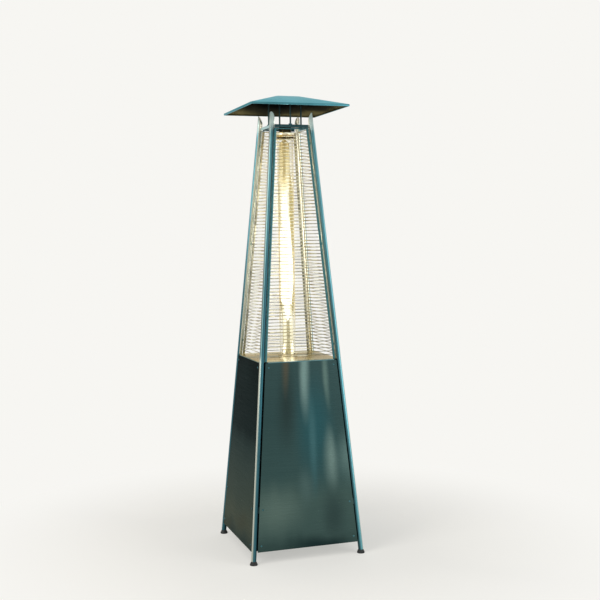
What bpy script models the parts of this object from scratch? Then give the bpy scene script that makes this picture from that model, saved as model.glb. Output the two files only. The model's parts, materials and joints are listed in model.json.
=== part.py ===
"""Pyramid patio heater: four leaning posts, a sheet base for the gas bottle, a glass flame tube in a
cage of four guards, and a shallow square hood on studs. Metres, +Z up, front face towards -Y, and the
origin on the floor under the middle."""

import math

import bmesh
import bpy
from mathutils import Matrix, Vector

# Overall form
HEIGHT = 2.27
FOOT_SPACING = 0.559
PEAK_SPACING = 0.180
SEAT_GAP = 0.0003
MERGE_DISTANCE = 0.000001

# Posts and feet
POST_RADIUS = 0.0125
POST_WALL = 0.0015
POST_TOP_DROP = 0.078
POST_CUT_DROP = 0.132
FOOT_RADIUS = 0.019
FOOT_PAD = 0.005
FOOT_HEIGHT = 0.018
FOOT_PLUG = 0.008
FOOT_PLUG_PLAY = 0.0015

# Sheet metal of the base
PANEL_THICKNESS = 0.0016
PANEL_SIDE_GAP = 0.003
PANEL_OUT = 0.0095
PANEL_LOW = 0.059
PANEL_DROP = 0.005
BASE_LEVEL = 0.064
BASE_RIM = 0.040
TRAY_THICKNESS = 0.0015
TRAY_BEND = 0.0012
BRACE_HEIGHT = 0.260
BRACE_WIDTH = 0.030
BRACE_THICKNESS = 0.003

# Deck under the flame tube
DECK_TOP = 0.967
DECK_RIM = 0.034
DECK_HOLE_RADIUS = 0.0365

# Rear face: control panel and bottle door
CONTROL_OVERHANG = 0.018
CONTROL_RETURN = 0.016
CONTROL_RISE = 0.061
VALVE_ACROSS = -0.050
IGNITER_ACROSS = 0.050
DOOR_TOP_GAP = 0.004
DOOR_RETURN = 0.010
HINGE_ACROSS = 0.0175
HINGE_OUT = 0.008
HINGE_LOW = 0.170
HINGE_HIGH = 0.660
HINGE_RADIUS = 0.004
HINGE_PIN_RADIUS = 0.0020
HINGE_KNUCKLE = 0.020
HINGE_KNUCKLE_GAP = 0.0005
HINGE_PIN_PROUD = 0.0015
HINGE_LEAF_REACH = 0.045
HINGE_LEAF_START = 0.0160
HINGE_LEAF_THICKNESS = 0.002
HINGE_STUB_WIDTH = 0.005
HINGE_WRAP = math.radians(225.0)
DOOR_PULL_HEIGHT = 0.480
DOOR_PULL_INSET = 0.050
DOOR_PULL_RADIUS = 0.013
DOOR_PULL_NECK = 0.008
DOOR_PULL_DEPTH = 0.024
MAGNET_LENGTH = 0.040
MAGNET_HEIGHT = 0.012
MAGNET_DEPTH = 0.012
MAGNET_INSET = 0.060
STRIKE_THICKNESS = 0.0012

# Burner box, hung under the deck
BOX_DEPTH = 0.148
BOX_HALF_WIDTH = 0.100
BOX_FRONT = -0.070
BOX_INLET_RADIUS = 0.014

# Burner, injector and pilot set
HEAD_RADIUS = 0.027
HEAD_RISE = 0.011
HEAD_DEPTH = 0.024
HEAD_DISH = 0.006
STEM_RADIUS = 0.0115
STEM_BORE = 0.0075
BURNER_RISE = 0.033
INJECTOR_FOOT_RADIUS = 0.0130
INJECTOR_FOOT = 0.005
INJECTOR_RADIUS = 0.0105
INJECTOR_TIP_RADIUS = 0.0068
INJECTOR_TIP = 0.009
INJECTOR_PORT = 0.017
PILOT_CIRCLE = 0.0325
PILOT_RISE = 0.029
PILOT_SPREAD = math.radians(28.0)
PILOT_PLATE_THICKNESS = 0.0015
PILOT_PLATE_INNER = 0.0240
PILOT_PLATE_OUTER = 0.0450
PILOT_HOLE_PLAY = 0.0004

# Valve, knob and igniter, measured outwards from the control panel's middle plane
CONTROL_HOLE_PLAY = 0.0015
SPINDLE_RADIUS = 0.0040
SPINDLE_PLAY = 0.0004
SPINDLE_IN = 0.033
SPINDLE_OUT = 0.019
VALVE_RADIUS = 0.022
VALVE_BACK = 0.062
VALVE_FACE = 0.024
VALVE_BOSS_RADIUS = 0.011
BEZEL_RADIUS = 0.031
BEZEL_THICKNESS = 0.0018
KNOB_RADIUS = 0.023
KNOB_GRIP_RADIUS = 0.0185
KNOB_FLUTE = 0.0016
KNOB_FLUTES = 10
KNOB_POINTS_PER_FLUTE = 6
KNOB_BACK = 0.0085
KNOB_SKIRT = 0.006
KNOB_FRONT = 0.035
KNOB_ROUNDING = 0.0025
KNOB_TRAVEL = 0.004
INLET_RADIUS = 0.0085
INLET_NUT_RADIUS = 0.0120
INLET_NUT = 0.010
INLET_LENGTH = 0.042
BUTTON_RADIUS = 0.0060
BUTTON_PLAY = 0.0004
BUTTON_OUT = 0.0085
BUTTON_BACK = 0.014
BUTTON_ROUNDING = 0.0012
IGNITER_RADIUS = 0.0090
IGNITER_FLANGE_RADIUS = 0.0130
IGNITER_FLANGE = 0.0025
IGNITER_DEPTH = 0.034
TILT_SIDE = 0.026
TILT_HEIGHT = 0.022
TILT_ROUNDING = 0.002
TILT_ACROSS = 0.066
TILT_FORWARD = 0.020

# Pipes and leads inside the burner box
GAS_PIPE_RADIUS = 0.0040
PILOT_LEAD_RADIUS = 0.0016
PIPE_STEP_DIAMETERS = 2.5
PIPE_BEND = 0.030

# Glass flame tube and its fittings
GLASS_RADIUS = 0.041
GLASS_WALL = 0.0025
GLASS_TOP_DROP = 0.197
SOCKET_RADIUS = 0.0475
SOCKET_WALL = 0.0025
SOCKET_FLOOR = 0.0020
SOCKET_HEIGHT = 0.011
SEAL_FLOOR = 0.0020
SEAL_HEIGHT = 0.0080
COLLAR_RADIUS = 0.0445
COLLAR_NECK_RADIUS = 0.031
COLLAR_DISC_DROP = 0.180
COLLAR_WALL = 0.0012
COLLAR_SKIRT = 0.024
COLLAR_FLANGE_RADIUS = 0.036

# Guards
GUARD_INSET = 0.006
GUARD_THICKNESS = 0.0026
GUARD_OUTER_ACROSS = 0.0146
GUARD_STRIP = 0.0122
GUARD_TOP_GAP = 0.003
GUARD_TOP_BAR = 0.005
GUARD_FIRST_RISE = 0.023
GUARD_WIRE_PITCH = 0.0166
GUARD_WIRE = 0.0036
GUARD_TAB = 0.012
GUARD_TAB_SHARES = (0.06, 0.50, 0.94)

# Upper plate, studs and hood
UPPER_PLATE_DROP = 0.1450
UPPER_RIM = 0.014
STUD_INSET = 0.017
STUD_RADIUS = 0.0043
STUD_PLAY = 0.0004
STUD_TAIL = 0.010
HOOD_SPAN = 0.500
HOOD_CAP_SPAN = 0.115
HOOD_RISE = 0.067
HOOD_LIP = 0.0095
HOOD_THICKNESS = 0.0014

# Counts of sides on round pieces
POST_SIDES = 28
TURNED_SIDES = 24
GLASS_SIDES = 40
SMALL_SIDES = 12
SHARP_ANGLE = math.radians(35.0)

# Derived from the sizes above
PANEL_HIGH = DECK_TOP - PANEL_DROP
BOX_FLOOR = DECK_TOP - BOX_DEPTH
CONTROL_LOW = BOX_FLOOR - CONTROL_OVERHANG
CONTROL_HEIGHT = BOX_FLOOR + CONTROL_RISE
BURNER_LOW = BOX_FLOOR + BURNER_RISE
HEAD_LOW = DECK_TOP + HEAD_RISE
HEAD_HIGH = HEAD_LOW + HEAD_DEPTH
PILOT_TOP = DECK_TOP + PILOT_RISE
GUARD_FIRST_WIRE = DECK_TOP + GUARD_FIRST_RISE
LEAN = (FOOT_SPACING - PEAK_SPACING) / HEIGHT / 2
SLOPE_LENGTH = math.hypot(1.0, LEAN)
POST_REACH = POST_RADIUS * math.hypot(1.0, LEAN * math.sqrt(2.0))
FACE_NORMAL = Vector((0.0, -1.0, LEAN)).normalized()
FACE_UP = Vector((0.0, LEAN, 1.0)).normalized()
FACE_ACROSS = Vector((1.0, 0.0, 0.0))
SIDE_TURNS = {"front": 0.0, "right": math.pi / 2, "rear": math.pi, "left": -math.pi / 2}
CORNERS = {"front_left": (-1, -1), "front_right": (1, -1), "rear_left": (-1, 1), "rear_right": (1, 1)}
FINISHES = {
    "steel": ((0.36, 0.50, 0.53), 1.0, 0.30),
    "dark_steel": ((0.22, 0.31, 0.33), 1.0, 0.35),
    "inner_steel": ((0.45, 0.47, 0.48), 1.0, 0.45),
    "hood_steel": ((0.36, 0.55, 0.60), 1.0, 0.32),
    "rubber": ((0.02, 0.02, 0.02), 0.0, 0.80),
    "glass": ((0.80, 0.85, 0.84), 0.0, 0.05),
    "gasket": ((0.72, 0.68, 0.60), 0.0, 0.90),
    "brass": ((0.62, 0.47, 0.20), 1.0, 0.35),
    "copper": ((0.66, 0.36, 0.22), 1.0, 0.35),
    "plastic": ((0.03, 0.03, 0.03), 0.0, 0.45),
    "ceramic": ((0.86, 0.85, 0.82), 0.0, 0.40),
}


# Places on the pyramid

def half_at(level):
    """Distance of each face's plane through the post axes from the middle, at this height."""
    return FOOT_SPACING / 2 - LEAN * level


def face_matrix(side, level, across=0.0, out=0.0):
    """Frame on a face's middle plane: X across, Y up the slope, Z straight out."""
    origin = Vector((across, -half_at(level), level)) + out * FACE_NORMAL
    axes = Matrix((FACE_ACROSS, FACE_UP, FACE_NORMAL)).transposed().to_4x4()
    return Matrix.Rotation(SIDE_TURNS[side], 4, "Z") @ Matrix.Translation(origin) @ axes


def post_matrix(side, level, across, out):
    """Frame beside the post at a face's right end: X towards the face's middle, Y out, Z up the post."""
    along = Vector((-LEAN, LEAN, 1.0)).normalized()
    inward = (-FACE_ACROSS + along * along.x).normalized()
    axes = Matrix((inward, along.cross(inward), along)).transposed().to_4x4()
    origin = Vector((half_at(level), -half_at(level), level))
    place = Matrix.Translation(origin) @ axes @ Matrix.Translation((across, out, 0.0))
    return Matrix.Rotation(SIDE_TURNS[side], 4, "Z") @ place


def hood_underside(distance):
    """Height of the hood's inner face at this distance from the middle, along X or Y."""
    run = (HOOD_SPAN - HOOD_CAP_SPAN) / 2
    rise = HOOD_RISE - HOOD_LIP
    outer = HEIGHT - max(distance - HOOD_CAP_SPAN / 2, 0.0) * rise / run
    return outer - HOOD_THICKNESS * math.hypot(run, rise) / run


# Scene, finishes and objects

def clear_scene():
    for obj in list(bpy.data.objects):
        bpy.data.objects.remove(obj, do_unlink=True)


def finish(name):
    """Material of this finish, made the first time it is asked for."""
    made = bpy.data.materials.get(name)
    if made:
        return made
    colour, metallic, roughness = FINISHES[name]
    made = bpy.data.materials.new(name)
    made.use_nodes = True
    shader = made.node_tree.nodes["Principled BSDF"]
    shader.inputs["Base Color"].default_value = (*colour, 1.0)
    shader.inputs["Metallic"].default_value = metallic
    shader.inputs["Roughness"].default_value = roughness
    if name == "glass":
        shader.inputs["Transmission Weight"].default_value = 1.0
    return made


def show(obj, material_name, matrix, parent):
    bpy.context.scene.collection.objects.link(obj)
    obj.data.materials.append(finish(material_name))
    obj.matrix_world = matrix
    if parent:
        bpy.context.view_layer.update()
        obj.parent = parent
        obj.matrix_parent_inverse = parent.matrix_world.inverted()
    return obj


def add(name, mesh, material_name, matrix=None, parent=None):
    """Object from a bmesh whose points are in the frame that matrix gives."""
    data = bpy.data.meshes.new(name)
    mesh.to_mesh(data)
    mesh.free()
    data.shade_smooth()
    data.set_sharp_from_angle(angle=SHARP_ANGLE)
    obj = bpy.data.objects.new(name, data)
    return show(obj, material_name, matrix or Matrix(), parent)


def thicken(obj, thickness):
    """Gives a folded sheet its thickness, half to each side of its middle surface."""
    solidify = obj.modifiers.new("Sheet", "SOLIDIFY")
    solidify.thickness = thickness
    solidify.offset = 0.0
    solidify.use_even_offset = True
    solidify.use_quality_normals = True
    return obj


# Mesh builders

def circle(radius, sides, centre=(0.0, 0.0), start=0.0, sweep=math.tau):
    """Points of a whole circle, or of an arc with both its ends."""
    steps = sides if sweep == math.tau else sides - 1
    points = []
    for index in range(sides):
        angle = start + sweep * index / steps
        points.append((centre[0] + radius * math.cos(angle), centre[1] + radius * math.sin(angle)))
    return points


def turned(profile, sides):
    """Body of revolution round Z. A profile that starts off the axis is a closed loop."""
    mesh = bmesh.new()
    points = [mesh.verts.new((radius, 0.0, level)) for radius, level in profile]
    pairs = list(zip(points, points[1:]))
    if profile[0][0] > 0.0:
        pairs.append((points[-1], points[0]))
    edges = [mesh.edges.new(pair) for pair in pairs]
    bmesh.ops.spin(mesh, geom=points + edges, cent=(0.0, 0.0, 0.0), axis=(0.0, 0.0, 1.0),
                   angle=math.tau, steps=sides, use_merge=True)
    bmesh.ops.remove_doubles(mesh, verts=mesh.verts, dist=MERGE_DISTANCE)
    bmesh.ops.recalc_face_normals(mesh, faces=mesh.faces)
    return mesh


def ringed(rings, looped=False):
    """Body through rings of equal point counts, capped at both ends or closed on itself."""
    mesh = bmesh.new()
    made = [[mesh.verts.new(point) for point in ring] for ring in rings]
    steps = list(zip(made, made[1:]))
    if looped:
        steps.append((made[-1], made[0]))
    for one, other in steps:
        for index in range(len(one)):
            mesh.faces.new((one[index - 1], one[index], other[index], other[index - 1]))
    if not looped:
        mesh.faces.new(made[0])
        mesh.faces.new(made[-1])
    bmesh.ops.recalc_face_normals(mesh, faces=mesh.faces)
    return mesh


def pierced(outline, holes=(), level=0.0):
    """Flat face with holes in it, at this level of its frame."""
    mesh = bmesh.new()
    edges = []
    for loop in (outline, *holes):
        points = [mesh.verts.new((x, y, level)) for x, y in loop]
        for index in range(len(points)):
            edges.append(mesh.edges.new((points[index - 1], points[index])))
    bmesh.ops.triangle_fill(mesh, edges=edges, use_beauty=True, normal=(0.0, 0.0, 1.0))
    return mesh


def slab(outline, low, high, holes=()):
    """Flat piece of this outline between two levels of its frame."""
    mesh = pierced(outline, holes, low)
    bottom = list(mesh.faces)
    raised = bmesh.ops.extrude_face_region(mesh, geom=bottom, use_keep_orig=True)
    points = [item for item in raised["geom"] if isinstance(item, bmesh.types.BMVert)]
    bmesh.ops.translate(mesh, verts=points, vec=(0.0, 0.0, high - low))
    bmesh.ops.recalc_face_normals(mesh, faces=mesh.faces)
    return mesh


def rectangle(low_x, low_y, high_x, high_y):
    return [(low_x, low_y), (high_x, low_y), (high_x, high_y), (low_x, high_y)]


def fold(mesh, ends, shift):
    """Adds a flange to a flat sheet: the boundary edge between two points is carried on by a shift each."""
    points = [min(mesh.verts, key=lambda vert, end=end: (vert.co - Vector(end)).length) for end in ends]
    moved = [mesh.verts.new(point.co + Vector(step)) for point, step in zip(points, shift)]
    mesh.faces.new((points[0], points[1], moved[1], moved[0]))


def oblique_ring(foot, along, radius, plane_point, plane_normal, sides):
    """Where a round tube's lines, through foot and running along, meet a plane."""
    first = along.cross(Vector((0.0, 1.0, 0.0))).normalized()
    second = along.cross(first)
    ring = []
    for x, y in circle(radius, sides):
        start = foot + first * x + second * y
        reach = (plane_point - start).dot(plane_normal) / along.dot(plane_normal)
        ring.append(start + along * reach)
    return ring


# Posts and feet

def post_axis(corner, level):
    x, y = CORNERS[corner]
    return Vector((x * half_at(level), y * half_at(level), level))


def make_post(corner):
    """Hollow tube, cut level at its foot and obliquely at its top, with the cut facing inwards."""
    x, y = CORNERS[corner]
    bottom = post_axis(corner, FOOT_HEIGHT + SEAT_GAP)
    low_cut = post_axis(corner, HEIGHT - POST_CUT_DROP)
    high_cut = post_axis(corner, HEIGHT - POST_TOP_DROP)
    along = (high_cut - bottom).normalized()
    outward = Vector((x, y, 0.0)).normalized()
    middle = (low_cut + high_cut) / 2
    rise = high_cut.z - low_cut.z
    cut_normal = Vector((0.0, 0.0, 2 * POST_RADIUS)) - outward * rise
    inner_radius = POST_RADIUS - POST_WALL
    up = Vector((0.0, 0.0, 1.0))
    rings = [
        oblique_ring(bottom, along, POST_RADIUS, bottom, up, POST_SIDES),
        oblique_ring(bottom, along, POST_RADIUS, middle, cut_normal, POST_SIDES),
        oblique_ring(bottom, along, inner_radius, middle, cut_normal, POST_SIDES),
        oblique_ring(bottom, along, inner_radius, bottom, up, POST_SIDES),
    ]
    add(f"post_{corner}", ringed(rings, looped=True), "steel")


def make_foot(corner):
    """Rubber foot: a round pad under a cone, with a plug inside the post."""
    plug = POST_RADIUS - POST_WALL - FOOT_PLUG_PLAY
    profile = [
        (0.0, 0.0),
        (FOOT_RADIUS, 0.0),
        (FOOT_RADIUS, FOOT_PAD),
        (POST_RADIUS, FOOT_HEIGHT),
        (plug, FOOT_HEIGHT),
        (plug, FOOT_HEIGHT + FOOT_PLUG),
        (0.0, FOOT_HEIGHT + FOOT_PLUG),
    ]
    centre = post_axis(corner, FOOT_HEIGHT)
    centre.z = 0.0
    add(f"foot_{corner}", turned(profile, TURNED_SIDES), "rubber", Matrix.Translation(centre))


# Trays, panels and braces

def make_tray(name, level, rim, walls, holes, material_name):
    """Sheet between the posts, its middle at this level, with a rim bent along each side's wall.

    Its corners are cut off square to the posts, so that they meet the tubes."""
    reach = 2 * half_at(level) - math.sqrt(2.0) * (POST_REACH + SEAT_GAP) - TRAY_THICKNESS / 2
    bend = math.copysign(TRAY_BEND, rim)
    outline = []
    folds = []
    for side, turn in SIDE_TURNS.items():
        spin = Matrix.Rotation(turn, 4, "Z")
        wall = walls[side]
        end = reach - wall
        lines = [(end + TRAY_BEND, wall - TRAY_BEND, level)]
        lines += [(end - LEAN * rise, wall - LEAN * rise, level + rise) for rise in (bend, rim)]
        outline += [(spin @ Vector((way * lines[0][0], -lines[0][1], level))).to_tuple()[:2] for way in (-1, 1)]
        for (x, y, z), (far_x, far_y, far_z) in zip(lines, lines[1:]):
            ends = [spin @ Vector((way * x, -y, z)) for way in (-1, 1)]
            steps = [spin @ Vector((way * (far_x - x), y - far_y, far_z - z)) for way in (-1, 1)]
            folds.append((ends, steps))
    mesh = pierced(outline, holes, level)
    bmesh.ops.recalc_face_normals(mesh, faces=mesh.faces)
    for ends, steps in folds:
        fold(mesh, ends, steps)
    bmesh.ops.recalc_face_normals(mesh, faces=mesh.faces)
    return thicken(add(name, mesh, material_name), TRAY_THICKNESS)


def face_outline(low, high, edge):
    """Trapezium on a face between two heights, from its low line, its sides this far from the post axes."""
    rise = (high - low) * SLOPE_LENGTH
    wide = half_at(low) - edge
    narrow = half_at(high) - edge
    return [(-wide, 0.0), (wide, 0.0), (narrow, rise), (-narrow, rise)]


def tray_inset():
    """How far a rim lies inside the middle plane of the panel in front of it."""
    return (PANEL_THICKNESS + TRAY_THICKNESS) / 2 * SLOPE_LENGTH + SEAT_GAP


def panel_walls(level):
    """Distance of each side's rim from the middle, just behind the panels. The rear ones lie further in."""
    walls = {side: half_at(level) - tray_inset() + PANEL_OUT * SLOPE_LENGTH for side in SIDE_TURNS}
    walls["rear"] = half_at(level) - tray_inset()
    return walls


def make_panel(side):
    """Fixed panel, nearly flush with the outer side of the posts."""
    outline = face_outline(PANEL_LOW, PANEL_HIGH, POST_REACH + PANEL_SIDE_GAP)
    half = PANEL_THICKNESS / 2
    material_name = "steel" if side == "front" else "dark_steel"
    place = face_matrix(side, PANEL_LOW, out=PANEL_OUT)
    add(f"{side}_panel", slab(outline, -half, half), material_name, place)


def make_brace(side):
    """Flat bar from post to post behind a panel, which takes the panel's middle screws."""
    low = BRACE_HEIGHT - BRACE_WIDTH / 2
    high = BRACE_HEIGHT + BRACE_WIDTH / 2
    front = -PANEL_THICKNESS / 2 - SEAT_GAP
    back = front - BRACE_THICKNESS
    seat = math.sqrt(POST_REACH ** 2 - (PANEL_OUT + back) ** 2) + SEAT_GAP
    mesh = slab(face_outline(low, high, seat), back, front)
    add(f"brace_{side}", mesh, "inner_steel", face_matrix(side, low, out=PANEL_OUT))


# Rear face

def on_face_y(level, low):
    """A height as a distance up the face from its low line."""
    return (level - low) * SLOPE_LENGTH


def make_control_panel():
    """Upper rear panel with holes for the valve spindle and the igniter, its lower edge folded inwards."""
    outline = face_outline(CONTROL_LOW, PANEL_HIGH, POST_REACH + PANEL_SIDE_GAP)
    row = on_face_y(CONTROL_HEIGHT, CONTROL_LOW)
    spindle_hole = circle(SPINDLE_RADIUS + CONTROL_HOLE_PLAY, SMALL_SIDES, (VALVE_ACROSS, row))
    igniter_hole = circle(IGNITER_RADIUS + SPINDLE_PLAY, SMALL_SIDES, (IGNITER_ACROSS, row))
    mesh = pierced(outline, (spindle_hole, igniter_hole))
    ends = [(*outline[0], 0.0), (*outline[1], 0.0)]
    step = (0.0, 0.0, -CONTROL_RETURN)
    inner = POST_RADIUS * CONTROL_RETURN / half_at(CONTROL_LOW)
    shift = [Vector(step) + Vector((inner, 0.0, 0.0)), Vector(step) - Vector((inner, 0.0, 0.0))]
    fold(mesh, ends, shift)
    bmesh.ops.recalc_face_normals(mesh, faces=mesh.faces)
    panel = add("control_panel", mesh, "steel", face_matrix("rear", CONTROL_LOW))
    thicken(panel, PANEL_THICKNESS)


def hinge_frame(level):
    """Frame on the door's hinge axis: Z along it, X over the door, Y out."""
    return post_matrix("rear", level, HINGE_ACROSS, HINGE_OUT)


def make_door():
    """Lower rear panel that swings on its hinges, with a stiffening fold along its free edge."""
    high = CONTROL_LOW - DOOR_TOP_GAP
    outline = face_outline(PANEL_LOW, high, POST_REACH + PANEL_SIDE_GAP)
    fold_start = BASE_LEVEL + BASE_RIM + DOOR_TOP_GAP
    share = (fold_start - PANEL_LOW) / (high - PANEL_LOW)
    corner = Vector(outline[0]).lerp(Vector(outline[3]), share)
    mesh = pierced([*outline, tuple(corner)])
    ends = [(*corner, 0.0), (*outline[3], 0.0)]
    step = (0.0, 0.0, -DOOR_RETURN)
    fold(mesh, ends, [step, step])
    bmesh.ops.recalc_face_normals(mesh, faces=mesh.faces)
    hinge = hinge_frame(HINGE_LOW)
    bmesh.ops.transform(mesh, matrix=hinge.inverted() @ face_matrix("rear", PANEL_LOW), verts=mesh.verts)
    door = add("bottle_door", mesh, "steel", hinge)
    return thicken(door, PANEL_THICKNESS)


def leaf_outline():
    """Section of the door's hinge leaf: a knuckle with a plate that lies on the door's outer face."""
    face = PANEL_THICKNESS / 2 + SEAT_GAP - HINGE_OUT
    top = face + HINGE_LEAF_THICKNESS
    reach = HINGE_LEAF_REACH - HINGE_ACROSS
    start = HINGE_LEAF_START - HINGE_ACROSS
    arc = circle(HINGE_RADIUS, SMALL_SIDES, sweep=HINGE_WRAP)
    return [(reach, face), (reach, top), (HINGE_RADIUS, top), *arc, (start, face)]


def bracket_outline():
    """Section of the fixed hinge half: a knuckle with a stub welded to the post."""
    distance = math.hypot(HINGE_ACROSS, HINGE_OUT)
    half = HINGE_STUB_WIDTH / 2
    bulge = POST_REACH - math.sqrt(POST_REACH ** 2 - half ** 2)
    flat = distance - POST_REACH - SEAT_GAP - bulge / 2
    turn = math.atan2(-HINGE_OUT, -HINGE_ACROSS)
    opening = math.asin(half / HINGE_RADIUS)
    arc = circle(HINGE_RADIUS, SMALL_SIDES, start=turn + opening, sweep=math.tau - 2 * opening)
    toward = Vector((math.cos(turn), math.sin(turn)))
    aside = Vector((-toward.y, toward.x))
    return [*arc, tuple(toward * flat - aside * half), tuple(toward * flat + aside * half)]


def make_hinge(name, level, door):
    """Lift-off hinge: a fixed knuckle below, the door's knuckle above, and a pin through both."""
    frame = hinge_frame(level)
    bore = circle(HINGE_PIN_RADIUS + SEAT_GAP, SMALL_SIDES)
    top = HINGE_KNUCKLE + HINGE_KNUCKLE_GAP
    bracket = slab(bracket_outline(), 0.0, HINGE_KNUCKLE, [bore])
    leaf = slab(leaf_outline(), top, top + HINGE_KNUCKLE, [bore])
    pin = turned([
        (0.0, -HINGE_PIN_PROUD),
        (HINGE_PIN_RADIUS, -HINGE_PIN_PROUD),
        (HINGE_PIN_RADIUS, top + HINGE_KNUCKLE + HINGE_PIN_PROUD),
        (0.0, top + HINGE_KNUCKLE + HINGE_PIN_PROUD),
    ], SMALL_SIDES)
    add(f"{name}_hinge_bracket", bracket, "dark_steel", frame)
    add(f"{name}_hinge_leaf", leaf, "dark_steel", frame, door)
    add(f"{name}_hinge_pin", pin, "inner_steel", frame)


def make_door_pull(door):
    """Turned pull near the door's free edge, flared from its foot to its head."""
    base = panel_front()
    top = base + DOOR_PULL_DEPTH
    rounding = DOOR_PULL_RADIUS - DOOR_PULL_NECK
    profile = [
        (0.0, base),
        (DOOR_PULL_NECK, base),
        (DOOR_PULL_RADIUS, top - rounding / 2),
        (DOOR_PULL_RADIUS - rounding / 4, top - rounding / 4),
        (DOOR_PULL_RADIUS - rounding / 2, top),
        (0.0, top),
    ]
    across = DOOR_PULL_INSET - half_at(DOOR_PULL_HEIGHT)
    place = face_matrix("rear", DOOR_PULL_HEIGHT, across)
    add("door_pull", turned(profile, TURNED_SIDES), "plastic", place, door)


def make_catch(door):
    """Magnet under the control panel's fold, and the strike plate on the door that it holds."""
    back = -PANEL_THICKNESS / 2 - SEAT_GAP
    top = CONTROL_LOW - (PANEL_THICKNESS / 2 + SEAT_GAP) / SLOPE_LENGTH
    low = top - MAGNET_HEIGHT
    across = MAGNET_INSET - half_at(low)
    half = MAGNET_LENGTH / 2
    face = back - STRIKE_THICKNESS - SEAT_GAP
    block = slab(rectangle(-half, 0.0, half, MAGNET_HEIGHT), face - MAGNET_DEPTH, face)
    bottom = CONTROL_LOW - DOOR_TOP_GAP - MAGNET_HEIGHT
    plate = slab(rectangle(-half, 0.0, half, MAGNET_HEIGHT), back - STRIKE_THICKNESS, back)
    add("door_magnet", block, "plastic", face_matrix("rear", low, across))
    add("door_strike", plate, "inner_steel", face_matrix("rear", bottom, across), door)


# Controls, in the frame of the control panel

def control_frame(across):
    return face_matrix("rear", CONTROL_HEIGHT, across)


def panel_front():
    return PANEL_THICKNESS / 2 + SEAT_GAP


def make_valve():
    """Valve body with a boss up to the panel and a blind bore for its spindle."""
    bore = SPINDLE_RADIUS + SPINDLE_PLAY
    floor = -SPINDLE_IN - SPINDLE_PLAY
    profile = [
        (0.0, -VALVE_BACK),
        (VALVE_RADIUS, -VALVE_BACK),
        (VALVE_RADIUS, -VALVE_FACE),
        (VALVE_BOSS_RADIUS, -VALVE_FACE),
        (VALVE_BOSS_RADIUS, -panel_front()),
        (bore, -panel_front()),
        (bore, floor),
        (0.0, floor),
    ]
    add("gas_valve", turned(profile, TURNED_SIDES), "brass", control_frame(VALVE_ACROSS))


def make_spindle():
    """Round spindle that the knob turns."""
    profile = [
        (0.0, -SPINDLE_IN),
        (SPINDLE_RADIUS, -SPINDLE_IN),
        (SPINDLE_RADIUS, SPINDLE_OUT),
        (0.0, SPINDLE_OUT),
    ]
    mesh = turned(profile, SMALL_SIDES)
    return add("valve_spindle", mesh, "inner_steel", control_frame(VALVE_ACROSS))


def fluted_ring(radius, flute, level, sides):
    """Ring of a fluted grip: its radius dips by flute between its ribs."""
    ring = []
    for index in range(sides):
        angle = math.tau * index / sides
        dip = flute * (1.0 - math.cos(KNOB_FLUTES * angle)) / 2
        ring.append(((radius - dip) * math.cos(angle), (radius - dip) * math.sin(angle), level))
    return ring


def make_knob(spindle):
    """Fluted knob on a skirt, with a blind socket that slides on the spindle."""
    sides = KNOB_FLUTES * KNOB_POINTS_PER_FLUTE
    socket = SPINDLE_RADIUS + SPINDLE_PLAY
    floor = SPINDLE_OUT + KNOB_TRAVEL + SPINDLE_PLAY
    skirt = KNOB_BACK + KNOB_SKIRT
    top_radius = KNOB_GRIP_RADIUS - KNOB_ROUNDING
    rings = [
        fluted_ring(socket, 0.0, floor, sides),
        fluted_ring(socket, 0.0, KNOB_BACK, sides),
        fluted_ring(KNOB_RADIUS, 0.0, KNOB_BACK, sides),
        fluted_ring(KNOB_RADIUS, 0.0, skirt - KNOB_ROUNDING, sides),
        fluted_ring(KNOB_GRIP_RADIUS, KNOB_FLUTE, skirt, sides),
        fluted_ring(KNOB_GRIP_RADIUS, KNOB_FLUTE, KNOB_FRONT - KNOB_ROUNDING, sides),
        fluted_ring(top_radius, KNOB_FLUTE, KNOB_FRONT, sides),
    ]
    add("control_knob", ringed(rings), "plastic", control_frame(VALVE_ACROSS), spindle)


def make_bezel():
    """Dial ring on the panel round the spindle."""
    bore = SPINDLE_RADIUS + CONTROL_HOLE_PLAY
    back = panel_front()
    profile = [
        (bore, back),
        (BEZEL_RADIUS, back),
        (BEZEL_RADIUS, back + BEZEL_THICKNESS / 2),
        (BEZEL_RADIUS - BEZEL_THICKNESS, back + BEZEL_THICKNESS),
        (bore, back + BEZEL_THICKNESS),
    ]
    add("knob_dial", turned(profile, TURNED_SIDES), "dark_steel", control_frame(VALVE_ACROSS))


def make_igniter():
    """Igniter barrel through the panel, and the push button that slides in it."""
    bore = BUTTON_RADIUS + BUTTON_PLAY
    back = panel_front()
    barrel = [
        (bore, -IGNITER_DEPTH),
        (IGNITER_RADIUS, -IGNITER_DEPTH),
        (IGNITER_RADIUS, back),
        (IGNITER_FLANGE_RADIUS, back),
        (IGNITER_FLANGE_RADIUS, back + IGNITER_FLANGE),
        (bore, back + IGNITER_FLANGE),
    ]
    button = [
        (0.0, -BUTTON_BACK),
        (BUTTON_RADIUS, -BUTTON_BACK),
        (BUTTON_RADIUS, BUTTON_OUT - BUTTON_ROUNDING),
        (BUTTON_RADIUS - BUTTON_ROUNDING, BUTTON_OUT),
        (0.0, BUTTON_OUT),
    ]
    frame = control_frame(IGNITER_ACROSS)
    add("igniter_barrel", turned(barrel, TURNED_SIDES), "plastic", frame)
    add("igniter_button", turned(button, TURNED_SIDES), "plastic", frame)


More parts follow.
